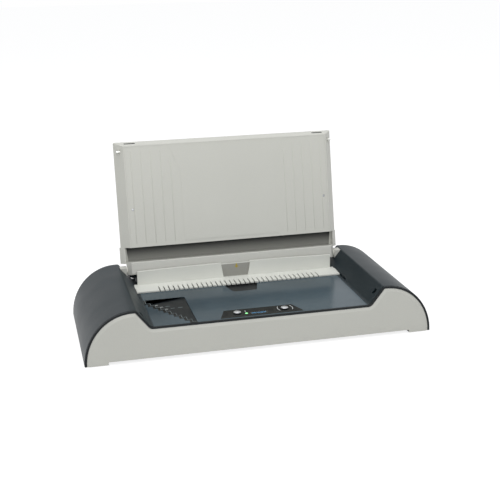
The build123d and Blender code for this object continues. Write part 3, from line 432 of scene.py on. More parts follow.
@dataclass(frozen=True)
class GlowingLamp(Finish):
    """Small diffused lamp, brightest at its middle."""

    glow: float = 0.75

    def paint(self, recipe: Recipe) -> None:
        """Light the tinted body from inside, with a faint change over it."""
        cloud = recipe.noise(1.2, 2.0)
        tint = recipe.ramp(cloud, [(0.3, shaded(self.colour, 0.9)), (0.7, shaded(self.colour, 1.1))])
        recipe.shade(Base_Color=tint, Roughness=self.rough, Emission_Color=tint,
                     Emission_Strength=recipe.level(cloud, self.glow * 0.85, self.glow))


@dataclass(frozen=True)
class CircuitBoard(Finish):
    """Solder mask over copper tracks, with bare tinned pads."""

    track_mm: float = 2.6
    pad_mm: float = 5.0

    def paint(self, recipe: Recipe) -> None:
        """Lay crossing tracks that show through the mask, and round pads between them."""
        bend = recipe.noise(16.0, 0.0)
        tracks = []
        for direction in ("X", "Y"):
            wave = recipe.add("TexWave", {"Vector": recipe.place, "Scale": 0.32 / (self.track_mm * MM),
                                          "Distortion": 0.0}, bands_direction=direction)
            tracks.append(recipe.math("GREATER_THAN", wave.outputs["Fac"], 0.72))
        side = recipe.math("GREATER_THAN", bend, 0.5)
        track = recipe.add("Mix", {0: side, 2: tracks[0], 3: tracks[1]}).outputs[0]
        mask = recipe.mixed(track, self.colour, shaded(self.colour, 1.45))
        spots = recipe.add("TexVoronoi", {"Vector": recipe.place, "Scale": 1 / (self.pad_mm * MM)})
        pad = recipe.math("LESS_THAN", spots.outputs["Distance"], 0.13)
        recipe.shade(Base_Color=recipe.mixed(pad, mask, (196, 192, 180)), Metallic=pad,
                     Roughness=self.rough, Coat_Weight=0.3, Coat_Roughness=0.2)
        recipe.relief(recipe.math("ADD", track, pad), 0.05, 0.7)


@dataclass(frozen=True)
class Banded(Finish):
    """Material wound or laid in parallel turns: coil tape, foil tracks or ribbon wires."""

    second: Colour = (0, 0, 0)
    pitch_mm: float = 2.0
    direction: str = "X"
    share: float = 0.5
    metallic: float = 0.0
    depth_mm: float = 0.1

    def paint(self, recipe: Recipe) -> None:
        """Lay the turns, each with a slight shade of its own."""
        wave = recipe.add("TexWave", {"Vector": recipe.place, "Scale": 0.314 / (self.pitch_mm * MM),
                                      "Distortion": 0.0}, bands_direction=self.direction).outputs["Fac"]
        low, high = shaded(self.colour, 0.92), shaded(self.colour, 1.06)
        first = recipe.mixed(recipe.noise(11.0, 3.0), low, high)
        turn = recipe.math("GREATER_THAN", wave, 1 - self.share)
        recipe.shade(Base_Color=recipe.mixed(turn, self.second, first), Metallic=self.metallic,
                     Roughness=recipe.level(recipe.noise(3.0), self.rough * 0.9, self.rough * 1.15))
        recipe.relief(wave, self.depth_mm, 0.6)


@dataclass(frozen=True)
class PressedBoard(Finish):
    """Pressed insulating board with light and dark flakes."""

    def paint(self, recipe: Recipe) -> None:
        """Lay flakes of three shades and a rough face."""
        cells = recipe.add("TexVoronoi", {"Vector": recipe.place, "Scale": 420.0})
        fac = recipe.math("MULTIPLY_ADD", recipe.noise(2.0, 4.0), 0.6,
                          recipe.math("MULTIPLY", cells.outputs["Distance"], 0.5))
        stops = [(0.2, shaded(self.colour, 0.8)), (0.5, self.colour), (0.8, shaded(self.colour, 1.1))]
        recipe.shade(Base_Color=recipe.ramp(fac, stops), Roughness=self.rough)
        recipe.relief(fac, 0.15, 0.6)


@dataclass(frozen=True)
class PrintedMark(Finish):
    """Screen-printed ink, thin enough for its edge to soften."""

    def paint(self, recipe: Recipe) -> None:
        """Lay ink with fine pinholes of a darker shade."""
        dots = recipe.noise(0.3, 2.0)
        ink = recipe.ramp(dots, [(0.25, shaded(self.colour, 0.86)), (0.5, self.colour)])
        recipe.shade(Base_Color=ink, Roughness=self.rough)
        recipe.relief(dots, 0.01, 0.4)


class Finishes:
    """The finishes of this machine."""

    SHOULDER = MouldedPlastic("shoulder plastic", (30, 40, 45), 0.42, grain_mm=0.6, grain_depth_mm=0.012,
                              shine=0.2)
    FASCIA = MouldedPlastic("silver grey plastic", (195, 195, 188), 0.42, change=0.012, patch_mm=160.0,
                            flake=0.25)
    LID = MouldedPlastic("lid plastic", (207, 207, 199), 0.48, change=0.012, patch_mm=160.0, flake=0.2)
    GUIDE = MouldedPlastic("guide plastic", (222, 223, 216), 0.42, change=0.012, patch_mm=160.0,
                           flake=0.2)
    # Painted shade: a darker copy of the guide plastic, laid in the finger recess.
    RECESS_SHADE = MouldedPlastic("finger recess painted shade", (152, 151, 145), 0.5, change=0.012, flake=0.2)
    # Painted shade for the pocket under the lid's raised panel: darker plastic that darkens upward.
    POCKET_SHADE = PocketShade("pocket painted shade", (150, 150, 144), 0.6, shine=0.2)
    RAIL = MouldedPlastic("rail plastic", (203, 203, 196), 0.48, change=0.012, patch_mm=160.0, flake=0.2)
    TRIM = MouldedPlastic("trim plastic", (18, 23, 26), 0.4, shine=0.25)
    TRAY = MouldedPlastic("tray plastic", (40, 42, 44), 0.6, grain_mm=0.9, grain_depth_mm=0.06)
    INNER = MouldedPlastic("inner plastic", (24, 27, 29), 0.5, grain_mm=0.7, grain_depth_mm=0.04)
    GAUGE = MouldedPlastic("gauge plastic", (17, 22, 25), 0.35, grain_mm=0.7, grain_depth_mm=0.02,
                           shine=0.2)
    BORDER = MouldedPlastic("gauge border", (10, 13, 15), 0.22, grain_depth_mm=0.004, shine=0.2)
    RUBBER = MouldedPlastic("black rubber", (27, 27, 28), 0.8, grain_mm=0.5, grain_depth_mm=0.05)
    CONTROL = MouldedPlastic("control plate", (9, 13, 15), 0.2, grain_depth_mm=0.004, shine=0.12)
    DECK = GlossDeck("deck gloss", (70, 84, 92), 0.16, coat=0.12, shine=0.12)
    WINDOW = ClearPane("window pane", (225, 238, 246), 0.05)
    DISPLAY = BarDisplay("display", (8, 14, 24), 0.25)
    LAMP = GlowingLamp("lamp green", (138, 236, 150), 0.3, glow=0.95)
    BUTTON = TwoShotCap("button cap", (206, 208, 211), 0.3, grain_mm=0.25, grain_depth_mm=0.006)
    SWITCH = MouldedPlastic("switch plastic", (30, 30, 31), 0.5)
    SOCKET = MouldedPlastic("socket nylon", (226, 222, 208), 0.5)
    NYLON = MouldedPlastic("washer nylon", (232, 230, 222), 0.4)
    INLET = MouldedPlastic("inlet plastic", (23, 24, 25), 0.4, grain_mm=0.6, grain_depth_mm=0.03)
    ROCKER = MouldedPlastic("rocker plastic", (28, 28, 29), 0.3, grain_mm=0.5)
    RELAY = MouldedPlastic("relay blue", (38, 84, 150), 0.35)
    CAPACITOR = MouldedPlastic("capacitor yellow", (226, 182, 44), 0.35)
    LEAD = MouldedPlastic("lead insulation", (178, 44, 38), 0.4)
    SCREW = Metal("plated screw", (176, 178, 180), 0.3, streak_mm=0.12)
    SPRING = Metal("spring steel", (168, 170, 172), 0.28, "z")
    ROD = Metal("ground rod", (196, 198, 200), 0.18, "y")
    PIN = Metal("ground pin", (196, 198, 200), 0.2, "x")
    STUD = Metal("stud steel", (214, 215, 212), 0.3, "x")
    HEATER = Metal("heater aluminium", (188, 190, 190), 0.35, "x", tarnish=0.14)
    TROUGH = Metal("galvanised trough", (160, 164, 166), 0.42, "x", 0.6)
    SENSOR = Metal("sensor can", (184, 184, 178), 0.35, "z")
    BRASS = Metal("contact brass", (202, 170, 104), 0.28, "y")
    FUSE = Metal("fuse caps", (200, 206, 208), 0.2, "y")
    BOARD = CircuitBoard("circuit board", (22, 84, 52), 0.4)
    FOIL = Banded("element foil", (196, 148, 70), 0.4, (96, 66, 34), 6.0, "Y", 0.7, 0.0, 0.15)
    RIBBON = Banded("ribbon cable", (150, 152, 154), 0.45, (110, 112, 114), 1.0, "X", 0.8, 0.0, 0.15)
    COIL = Banded("coil tape", (212, 176, 52), 0.42, (40, 40, 42), 5.0, "Y", 0.6, 0.0, 0.1)
    MICA = PressedBoard("insulating board", (196, 184, 150), 0.85)
    INK = PrintedMark("white ink", (222, 226, 226), 0.45)
    # Pale ink for printed step marks, also used as the painted highlight along the gauge's chamfered
    # edge.
    PALE_INK_AND_HIGHLIGHT = PrintedMark("pale ink and edge highlight", (128, 140, 144), 0.45)
    ARROW_INK = PrintedMark("arrow ink", (176, 156, 62), 0.5)


CAD_FINISHES: dict[Finish, tuple[str, ...]] = {
    Finishes.SHOULDER: ("left_side_casing", "right_side_casing", "rear_cover"),
    Finishes.FASCIA: ("front_fascia",),
    Finishes.LID: ("lid_outer_shell", "lid_inner_panel"),
    Finishes.GUIDE: ("document_guide",),
    Finishes.RAIL: ("lid_hinge_rail", "left_hinge_bracket", "right_hinge_bracket"),
    Finishes.TRIM: ("front_trim_frame",),
    Finishes.TRAY: ("bottom_tray",),
    Finishes.INNER: ("chassis_frame", "well_liner", "left_rod_bracket", "right_rod_bracket",
                     "hinge_blocks", "slider_blocks"),
    Finishes.GAUGE: ("spine_gauge",),
    Finishes.RUBBER: ("rubber_feet", "lid_edge_buffers", "lid_stop_pads"),
    Finishes.CONTROL: ("control_plate",),
    Finishes.DECK: ("deck_panel",),
    Finishes.WINDOW: ("display_window",),
    Finishes.DISPLAY: ("display_module",),
    Finishes.LAMP: ("status_lamp",),
    Finishes.BUTTON: ("start_button", "select_button"),
    Finishes.SWITCH: ("tact_switches", "buzzer"),
    Finishes.SOCKET: ("cable_sockets",),
    Finishes.NYLON: ("hinge_washers",),
    Finishes.INLET: ("mains_inlet", "switch_frame"),
    Finishes.ROCKER: ("power_rocker",),
    Finishes.RELAY: ("power_relay",),
    Finishes.CAPACITOR: ("line_capacitor",),
    Finishes.LEAD: ("internal_leads",),
    Finishes.SCREW: ("casing_screws", "lid_screws"),
    Finishes.SPRING: ("start_button_spring", "select_button_spring", "left_guide_spring",
                      "right_guide_spring"),
    Finishes.ROD: ("guide_rods",),
    Finishes.PIN: ("hinge_pins",),
    Finishes.STUD: ("latch_studs",),
    Finishes.HEATER: ("heater_plate",),
    Finishes.TROUGH: ("heater_trough",),
    Finishes.SENSOR: ("thermostat", "thermal_fuse"),
    Finishes.BRASS: ("inlet_pins",),
    Finishes.FUSE: ("board_fuse",),
    Finishes.BOARD: ("control_board", "power_board"),
    Finishes.FOIL: ("heating_element",),
    Finishes.RIBBON: ("flat_cable",),
    Finishes.COIL: ("board_transformer",),
    Finishes.MICA: ("heater_insulator",),
}


# ------------------------------------------------------------------ the modeller's bench
class Body(Enum):
    """The bodies that the scene's own pieces ride on."""

    BASE = "base"
    LID = "lid"
    GUIDE = "guide"
    ROCKER = "rocker"


def clear_bench() -> None:
    """Leave edit mode and deselect everything."""
    if bpy.context.object is not None and bpy.context.object.mode != "OBJECT":
        bpy.ops.object.mode_set(mode="OBJECT")
    bpy.ops.object.select_all(action="DESELECT")


def take(piece: Piece) -> None:
    """Select one piece alone and make it active."""
    clear_bench()
    piece.select_set(True)
    bpy.context.view_layer.objects.active = piece


def settle(piece: Piece) -> Piece:
    """Put the object's place, turn and scale into its mesh."""
    take(piece)
    bpy.ops.object.transform_apply(location=True, rotation=True, scale=True)
    return piece


def named(name: str) -> Piece:
    """Name the piece that an operator has just added.

    Args:
        name: The piece's name.

    Returns:
        The piece.
    """
    piece = bpy.context.object
    piece.name = name
    piece.data.name = name
    return settle(piece)


def bar(name: str, low: Vector, high: Vector) -> Piece:
    """Start a piece as a bar between two corners.

    Args:
        name: The piece's name.
        low: Its lowest corner in metres.
        high: Its highest corner in metres.

    Returns:
        The piece.
    """
    clear_bench()
    bpy.ops.mesh.primitive_cube_add(size=1.0, location=(low + high) / 2)
    bpy.context.object.scale = high - low
    return named(name)


def disc(name: str, radius: float, low: float, high: float, sides: int = 48) -> Piece:
    """Start a piece as an upright round blank on the Z axis.

    Args:
        name: The piece's name.
        radius: Its radius in metres.
        low: Height of its lower face.
        high: Height of its upper face.
        sides: How many sides stand for the round.

    Returns:
        The piece.
    """
    clear_bench()
    bpy.ops.mesh.primitive_cylinder_add(vertices=sides, radius=radius, depth=high - low,
                                        location=(0, 0, (low + high) / 2))
    return named(name)


def ring(name: str, radius: float, thickness: float, height: float, sides: int = 64) -> Piece:
    """Start a piece as a flat ring on the Z axis.

    Args:
        name: The piece's name.
        radius: Radius of the ring's middle line.
        thickness: Half the ring's width.
        height: Half the ring's height.
        sides: How many sides stand for the round.

    Returns:
        The piece.
    """
    clear_bench()
    bpy.ops.mesh.primitive_torus_add(major_radius=radius, minor_radius=thickness,
                                     major_segments=sides, minor_segments=12)
    bpy.context.object.scale = (1, 1, height / thickness)
    return named(name)


class Shaping:
    """Edit mode on one piece: parts are picked by place and shaped by operators."""

    def __init__(self, piece: Piece) -> None:
        """Open the piece in edit mode with nothing picked.

        Args:
            piece: The piece.
        """
        take(piece)
        bpy.ops.object.mode_set(mode="EDIT")
        bpy.ops.mesh.select_all(action="DESELECT")
        self.piece = piece

    def faces(self, test: Test) -> "Shaping":
        """Pick the faces whose centre and normal pass the test."""
        bpy.ops.mesh.select_mode(type="FACE")
        bpy.ops.mesh.select_all(action="DESELECT")
        mesh = bmesh.from_edit_mesh(self.piece.data)
        mesh.normal_update()
        for face in mesh.faces:
            face.select_set(test(face.calc_center_median(), face.normal))
        bmesh.update_edit_mesh(self.piece.data)
        return self

    def extrude(self, move: Vector) -> "Shaping":
        """Extrude what is picked by a move in metres."""
        bpy.ops.mesh.extrude_region_move(TRANSFORM_OT_translate={"value": move})
        return self

    def inset(self, width: float) -> "Shaping":
        """Inset the picked faces by a width in metres."""
        bpy.ops.mesh.inset(thickness=width, depth=0.0)
        return self

    def resize(self, factor: Sequence[float], about: Vector) -> "Shaping":
        """Scale what is picked about a point."""
        bpy.ops.transform.resize(value=factor, center_override=about)
        return self

    def move(self, move: Vector) -> "Shaping":
        """Move what is picked."""
        bpy.ops.transform.translate(value=move)
        return self

    def done(self) -> Piece:
        """Turn all faces outward and leave edit mode.

        Returns:
            The shaped piece.
        """
        bpy.ops.mesh.select_all(action="SELECT")
        bpy.ops.mesh.normals_make_consistent(inside=False)
        bpy.ops.object.mode_set(mode="OBJECT")
        return self.piece


def apply(piece: Piece, kind: str, **settings: object) -> Piece:
    """Add a modifier and apply it.

    Args:
        piece: The piece.
        kind: The modifier's type.
        **settings: Its settings.

    Returns:
        The piece.
    """
    take(piece)
    modifier = piece.modifiers.new(kind.lower(), kind)
    for key, value in settings.items():
        setattr(modifier, key, value)
    bpy.ops.object.modifier_apply(modifier=modifier.name)
    return piece


def rounded(piece: Piece, width: float, segments: int = 3) -> Piece:
    """Round every sharp edge of a piece and shade it smooth.

    Args:
        piece: The piece.
        width: Width of the rounding in metres.
        segments: How many facets it has.

    Returns:
        The piece.
    """
    apply(piece, "BEVEL", width=width, segments=segments, limit_method="ANGLE",
          angle_limit=math.radians(30), harden_normals=False)
    take(piece)
    bpy.ops.object.shade_smooth_by_angle(angle=math.radians(38))
    return piece


def smooth(piece: Piece) -> Piece:
    """Shade a piece smooth all over."""
    take(piece)
    bpy.ops.object.shade_smooth()
    return piece


def cut(piece: Piece, cutter: Piece) -> Piece:
    """Take a cutter's shape out of a piece and throw the cutter away.

    Args:
        piece: The piece.
        cutter: The shape that is taken out.

    Returns:
        The piece.
    """
    apply(piece, "BOOLEAN", operation="DIFFERENCE", solver="EXACT", object=cutter)
    bpy.data.objects.remove(cutter)
    return piece


def placed(piece: Piece, place: Matrix) -> Piece:
    """Move a finished piece to its place and settle it there.

    Args:
        piece: The piece, modelled about the origin.
        place: Where it goes.

    Returns:
        The piece.
    """
    piece.matrix_world = place
    settle(piece)
    if place.determinant() < 0:
        Shaping(piece).done()
    return piece


def copied(piece: Piece, name: str, place: Matrix) -> Piece:
    """Copy a finished piece with a mesh of its own.

    Args:
        piece: The piece.
        name: The copy's name.
        place: How the copy is moved from the first piece's place.

    Returns:
        The copy.
    """
    take(piece)
    bpy.ops.object.duplicate(linked=False)
    twin = bpy.context.object
    twin.name = name
    twin.data.name = name
    return placed(twin, place)


def four_of(piece: Piece, stem: str, places: Sequence[Matrix]) -> list[Piece]:
    """Set copies of a piece at all places but the last, and the piece itself at the last.

    Args:
        piece: The piece, modelled about the origin.
        stem: The copies' name before their number, which starts at 2.
        places: Where they go.

    Returns:
        The copies and then the piece.
    """
    copies = [copied(piece, f"{stem}_{index + 2}", place) for index, place in enumerate(places[:-1])]
    return copies + [placed(piece, places[-1])]


@dataclass
class Assembly:
    """A sub-assembly that keeps count of its pieces."""

    made: list[Piece] = field(default_factory=list)

    def keep(self, piece: Piece, finish: Finish, body: Body, slot: str,
             instead_of: Sequence[str] = ()) -> Piece:
        """Dress a finished piece and let it ride on its body.

        Args:
            piece: The piece.
            finish: Its finish.
            body: The body it rides on.
            slot: Not used.
            instead_of: The CAD nodes it stands for.

        Returns:
            The piece.
        """
        piece.data.materials.clear()
        piece.data.materials.append(finish.material())
        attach(piece, body.value)
        if instead_of:
            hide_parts(*instead_of)
        self.made.append(piece)
        LOG.info("%s: %s, %d faces", type(self).__name__, piece.name, len(piece.data.polygons))
        return piece


def middle(node: str) -> Vector:
    """Give the middle of a CAD node's box."""
    low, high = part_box(node)
    return (low + high) / 2


def dress_frame(nodes: dict[str, Piece]) -> None:
    """Give every carried-over CAD node its finish.

    Args:
        nodes: The frame's nodes by name.
    """
    for finish, names in CAD_FINISHES.items():
        for name in names:
            slots = nodes[name].data.materials
            slots.clear()
            slots.append(finish.material())
    missing = set(nodes) - {name for names in CAD_FINISHES.values() for name in names}
    LOG.info("%d nodes dressed, undressed: %s", len(nodes) - len(missing), sorted(missing))


# ------------------------------------------------------------------ the sub-assemblies
def screw_head(name: str, radius: float, height: float, slot_width: float) -> Piece:
    """Model a pan head with a cross recess, standing on the origin.

    Args:
        name: The piece's name.
        radius: The head's radius in metres.
        height: The head's height.
        slot_width: Width of the cross recess.

    Returns:
        The piece.
    """
    head = disc(name, radius, 0.0, height)
    shaping = Shaping(head).faces(lambda at, out: out.z > 0.9)
    shaping.inset(radius * 0.16).move(Vector((0, 0, height * 0.12)))
    shaping.inset(radius * 0.3).move(Vector((0, 0, height * 0.05)))
    shaping.done()
    for turn in (0.0, 90.0):
        cutter = bar("cross cutter", Vector((-radius * 0.62, -slot_width / 2, height * 0.45)),
                     Vector((radius * 0.62, slot_width / 2, height * 2)))
        Shaping(cutter).faces(lambda at, out: out.z < -0.9).resize(
            (0.45, 1, 1), Vector((0, 0, height * 0.45))).done()
        placed(cutter, Matrix.Rotation(math.radians(turn), 4, "Z"))
        cut(head, cutter)
    return rounded(head, radius * 0.07, 2)


@dataclass
class LidDetails(Assembly):
    """Ribs, screws, stud collars and a painted-shade sheet of the lid, modelled upright and then leaned
    with it.
    """

    lean: float = 11.4
    face: float = -13.5
    rib_x: tuple[float, ...] = (94.5, 110.2, 126.0, 141.9, 157.7)
    rib_width: float = 1.3
    rib_height: float = 0.5
    rib_low: float = 43.0
    rib_top: float = 190.5
    inner_rib_top: float = 179.0
    screw_x: float = 160.0
    screw_u: float = 98.0
    screw_radius: float = 1.9
    stud_u: float = 191.0
    stud_y: float = -5.0
    stud_root: float = 174.6
    pocket_face: float = 6.7
    pocket_half: float = 173.5
    pocket_low: float = 12.0
    pocket_top: float = 36.6

    def stand(self) -> Matrix:
        """Give the matrix that leans an upright lid piece on the hinge axis."""
        hinge = middle("hinge_pins")
        hinge.x = 0.0
        return Matrix.Translation(hinge) @ Matrix.Rotation(-math.radians(self.lean), 4, "X")

    def ribs(self) -> None:
        """Model one rib with a chamfered crest, and set its copies in both rows."""
        half = self.rib_width / 2
        for index, x in enumerate(self.rib_x):
            top = self.inner_rib_top if index == 0 else self.rib_top
            back = self.face + 0.1
            rib = bar(f"lid_rib_left_{index + 1}",
                      mm(-x - half, self.face - self.rib_height, self.rib_low), mm(-x + half, back, top))
            Shaping(rib).faces(lambda at, out: out.y < -0.9).resize(
                (0.45, 1, 0.997), mm(-x, self.face, (self.rib_low + top) / 2)).done()
            rounded(rib, 0.08 * MM, 2)
            twin = copied(rib, f"lid_rib_right_{index + 1}", Matrix.Translation(mm(2 * x, 0, 0)))
            for piece in (rib, twin):
                placed(piece, self.stand())
                self.keep(piece, Finishes.LID, Body.LID, "lid_grey")

    def screws(self) -> None:
        """Set the two small screws in the inner face."""
        face_up = Matrix.Rotation(math.radians(90), 4, "X")
        seat = Matrix.Translation(mm(-self.screw_x, self.face + 1.0, self.screw_u))
        head = screw_head("lid_screw_left", self.screw_radius * MM, 0.7 * MM, 0.7 * MM)
        placed(head, seat @ face_up)
        twin = copied(head, "lid_screw_right", Matrix.Translation(mm(2 * self.screw_x, 0, 0)))
        for piece in (head, twin):
            placed(piece, self.stand())
            self.keep(piece, Finishes.SCREW, Body.LID, "plated_screw", ("lid_screws",))

    def collars(self) -> None:
        """Set a small moulded collar round each latch stud's root."""
        for side, word in ((-1, "left"), (1, "right")):
            collar = ring(f"stud_collar_{word}", 3.0 * MM, 0.8 * MM, 0.5 * MM)
            turn = Matrix.Rotation(math.radians(90), 4, "Y")
            place = Matrix.Translation(mm(side * self.stud_root, self.stud_y, self.stud_u))
            placed(collar, place @ turn)
            placed(collar, self.stand())
            self.keep(smooth(collar), Finishes.LID, Body.LID, "lid_grey")

    def pocket_shade_sheet(self) -> None:
        """Lay a thin darker sheet in the pocket under the raised panel, as painted shade of the panel's
        overhang.
        """
        # A thin darker sheet laid as painted shade under the raised panel's overhang.
        shade_sheet = bar("pocket_shade_sheet", mm(-self.pocket_half, self.pocket_face - 0.25, self.pocket_low),
                     mm(self.pocket_half, self.pocket_face - 0.02, self.pocket_top))
        Shaping(shade_sheet).faces(lambda at, out: out.z < -0.9).resize(
            (0.985, 1, 1), mm(0, self.pocket_face, self.pocket_low)).done()
        rounded(shade_sheet, 0.08 * MM, 2)
        placed(shade_sheet, self.stand())
        self.keep(shade_sheet, Finishes.POCKET_SHADE, Body.LID, "lid_grey")

    def build(self) -> None:
        """Model and dress all of the lid's pieces."""
        self.ribs()
        self.screws()
        self.collars()
        self.pocket_shade_sheet()


@dataclass
class GaugeDetails(Assembly):
    """Stepped black border of the spine gauge, a pale strip along its inner edge as painted highlight,
    and its step marks.
    """

    right: float = -98.5
    back: float = 1.0
    steps: int = 10
    step_x: float = 6.2
    step_y: float = 10.2
    first: float = 15.0
    border_x: float = 4.6
    border_y: float = 4.2
    raised: float = 0.12
    line: float = 0.45
    floor: float = -1.2
    spare: float = 9.0
    dashes: tuple[tuple[float, float, float], ...] = (
        (-153.5, -2.2, 5.4), (-152.6, -11.4, 5.6), (-146.4, -21.4, 5.6), (-140.2, -31.4, 5.6),
        (-134.0, -41.8, 5.6), (-130.0, -29.8, 6.4), (-123.6, -40.2, 6.4), (-112.2, -40.0, 6.8))

    def stepped(self, name: str, grow_x: float, grow_y: float, low: float, high: float) -> Piece:
        """Model a stepped plate by taking a corner out of a bar at each step.

        Args:
            name: The piece's name.
            grow_x: How far its left edges lie outside the gauge's own.
            grow_y: How far its front edges do.
            low: Height of its lower face above the deck.
            high: Height of its upper face.

        Returns:
            The piece.
        """
        left = self.right - self.step_x * self.steps - grow_x
        front = self.back - self.first - grow_y
        last = front - self.step_y * (self.steps - 1)
        plate = bar(name, deck(left, last, low), deck(self.right, self.back, high))
        for index in range(self.steps - 1):
            corner = deck(left + self.step_x * (index + 1), front - self.step_y * index, high + 1)
            start = deck(left - self.spare, last - self.spare, low - 1)
            cut(plate, bar("corner cutter", start, corner))
        return plate

    def border(self) -> None:
        """Lay the black border in front of the steps, and a pale strip along its inner edge as painted
        highlight of the chamfered edge catching light.
        """
        band = self.stepped("gauge_border", self.border_x, self.border_y, -0.1, self.raised)
        cut(band, self.stepped("hole", 0.0, 0.0, -2.0, 2.0))
        rounded(band, 0.04 * MM, 1)
        self.keep(band, Finishes.BORDER, Body.BASE, "control_black")
        # A pale strip as painted highlight of the chamfered edge catching light.
        edge = self.stepped("gauge_edge_highlight", self.line, self.line, self.raised - 0.04,
                            self.raised + 0.03)
        cut(edge, self.stepped("hole", -0.05, -0.05, -2.0, 2.0))
        self.keep(edge, Finishes.PALE_INK_AND_HIGHLIGHT, Body.BASE, "deck_gloss")

    def marks(self) -> None:
        """Print the marks of the steps on the gauge's floor."""
        for index, (x, y, length) in enumerate(self.dashes):
            low = deck(x - length / 2, y - 0.65, self.floor - 0.02)
            mark = bar(f"step_mark_{index + 1}", low, deck(x + length / 2, y + 0.65, self.floor + 0.06))
            rounded(mark, 0.03 * MM, 1)
            finish = Finishes.INK if index < 5 else Finishes.PALE_INK_AND_HIGHLIGHT
            self.keep(mark, finish, Body.BASE, "inner_black")

    def build(self) -> None:
        """Model and dress the gauge's pieces."""
        self.border()
        self.marks()


@dataclass
class ControlDetails(Assembly):
    """Bezels, lamp lens and printed marks of the control plate."""

    button_x: tuple[float, float] = (-35.0, 38.0)
    button_y: float = -89.5
    collar: float = 6.45
    collar_half: float = 0.32
    collar_rise: float = 0.22
    lamp: tuple[float, float] = (-22.0, -95.0)
    lamp_radius: float = 2.1
    arc_radius: float = 18.0
    arcs: tuple[tuple[str, float, int], ...] = (("left", 27.6, -1), ("right", 50.4, 1))
    arc_half: float = 8.3
    arc_lift: float = 1.2
    arc_share: float = 4.0
    print_half: float = 0.42
    print_rise: float = 0.05
    tick: tuple[float, float] = (-22.0, -86.6)
    tick_half: float = 3.4

    def collars(self) -> None:
        """Set a thin polished collar round each button."""
        for x, word in zip(self.button_x, ("start", "select")):
            collar = ring(f"{word}_button_collar", self.collar * MM, self.collar_half * MM,
                          self.collar_rise * MM)
            placed(collar, Matrix.Translation(deck(x, self.button_y, 0.0)))
            self.keep(smooth(collar), Finishes.CONTROL, Body.BASE, "control_black")

    def lens(self) -> None:
        """Set the lamp's domed lens and its bezel."""
        dome = disc("lamp_lens", self.lamp_radius * MM, 0.0, 0.35 * MM)
        shaping = Shaping(dome).faces(lambda at, out: out.z > 0.9)
        shaping.inset(0.5 * MM).move(Vector((0, 0, 0.3 * MM)))
        shaping.inset(0.6 * MM).move(Vector((0, 0, 0.15 * MM)))
        shaping.done()
        rounded(dome, 0.12 * MM, 2)
        placed(dome, Matrix.Translation(deck(*self.lamp, -0.1)))
        self.keep(dome, Finishes.LAMP, Body.BASE, "lamp_green")
        bezel = ring("lamp_bezel", (self.lamp_radius + 0.3) * MM, 0.25 * MM, 0.2 * MM, 40)
        placed(bezel, Matrix.Translation(deck(*self.lamp)))
        self.keep(smooth(bezel), Finishes.CONTROL, Body.BASE, "control_black")

    def prints(self) -> None:
        """Print the two curved marks beside the right button and the tick above the lamp."""
        for word, x, side in self.arcs:
            arc = ring(f"curved_mark_{word}", self.arc_radius * MM, self.print_half * MM,
                       self.print_rise * MM, 128)
            centre = deck(x - side * self.arc_radius, self.button_y + self.arc_lift, 0.0)
            placed(arc, Matrix.Translation(centre))
            reach = 3 * self.arc_radius
            inner = side * (self.arc_radius - self.arc_share)
            for low, high in (((-side * reach, -reach), (inner, reach)),
                              ((-reach, self.arc_half), (reach, reach)),
                              ((-reach, -reach), (reach, -self.arc_half))):
                corners = [centre + mm(low[0], low[1], -2), centre + mm(high[0], high[1], 2)]
                start = Vector(min(a, b) for a, b in zip(*corners))
                end = Vector(max(a, b) for a, b in zip(*corners))
                cut(arc, bar("arc cutter", start, end))
            self.keep(arc, Finishes.INK, Body.BASE, "control_black")
        x, y = self.tick
        mark = bar("lamp_tick", deck(x - 0.35, y - self.tick_half, -0.04),
                   deck(x + 0.35, y + self.tick_half, 0.06))
        rounded(mark, 0.03 * MM, 1)
        self.keep(mark, Finishes.INK, Body.BASE, "control_black")

    def build(self) -> None:
        """Model and dress the control plate's pieces."""
        self.collars()
        self.lens()
        self.prints()


@dataclass
class GuideDetails(Assembly):
    """Painted-shade plate and arrow of the document guide's finger recess."""

    face: float = 71.9
    top_half: float = 24.6
    foot_half: float = 20.2
    foot: float = 55.4
    top: float = 76.4
    arrow: tuple[float, float] = (1.6, 75.0)

    def recess(self) -> None:
        """Lay a thin tapered darker plate in the recess as painted shade, and print the arrow on it."""
        low = mm(-self.foot_half, self.face + CASING_Y - 0.3, self.foot)
        high = mm(self.foot_half, self.face + CASING_Y - 0.05, self.top)
        # A thin darker plate as painted shade inside the recess.
        shade_sheet = bar("finger_recess_shade_sheet", low, high)
        Shaping(shade_sheet).faces(lambda at, out: out.z > 0.9).resize(
            (self.top_half / self.foot_half, 1, 1), mm(0, self.face + CASING_Y, self.top)).done()
        rounded(shade_sheet, 0.06 * MM, 2)
        self.keep(shade_sheet, Finishes.RECESS_SHADE, Body.GUIDE, "guide_grey")
        x, z = self.arrow
        y = self.face + CASING_Y - 0.3
        stem = bar("recess_arrow", mm(x - 1.1, y - 0.06, z - 2.6), mm(x + 1.1, y + 0.02, z + 1.2))
        shaping = Shaping(stem).faces(lambda at, out: out.z < -0.9)
        shaping.extrude(mm(0, 0, -0.02)).resize((3.4, 1, 1), mm(x, y, z - 2.6))
        shaping.extrude(mm(0, 0, -3.6)).resize((0.05, 1, 1), mm(x, y, z - 6.2))
        shaping.done()
        self.keep(stem, Finishes.ARROW_INK, Body.GUIDE, "guide_grey")

    def build(self) -> None:
        """Model and dress the guide's pieces."""
        self.recess()


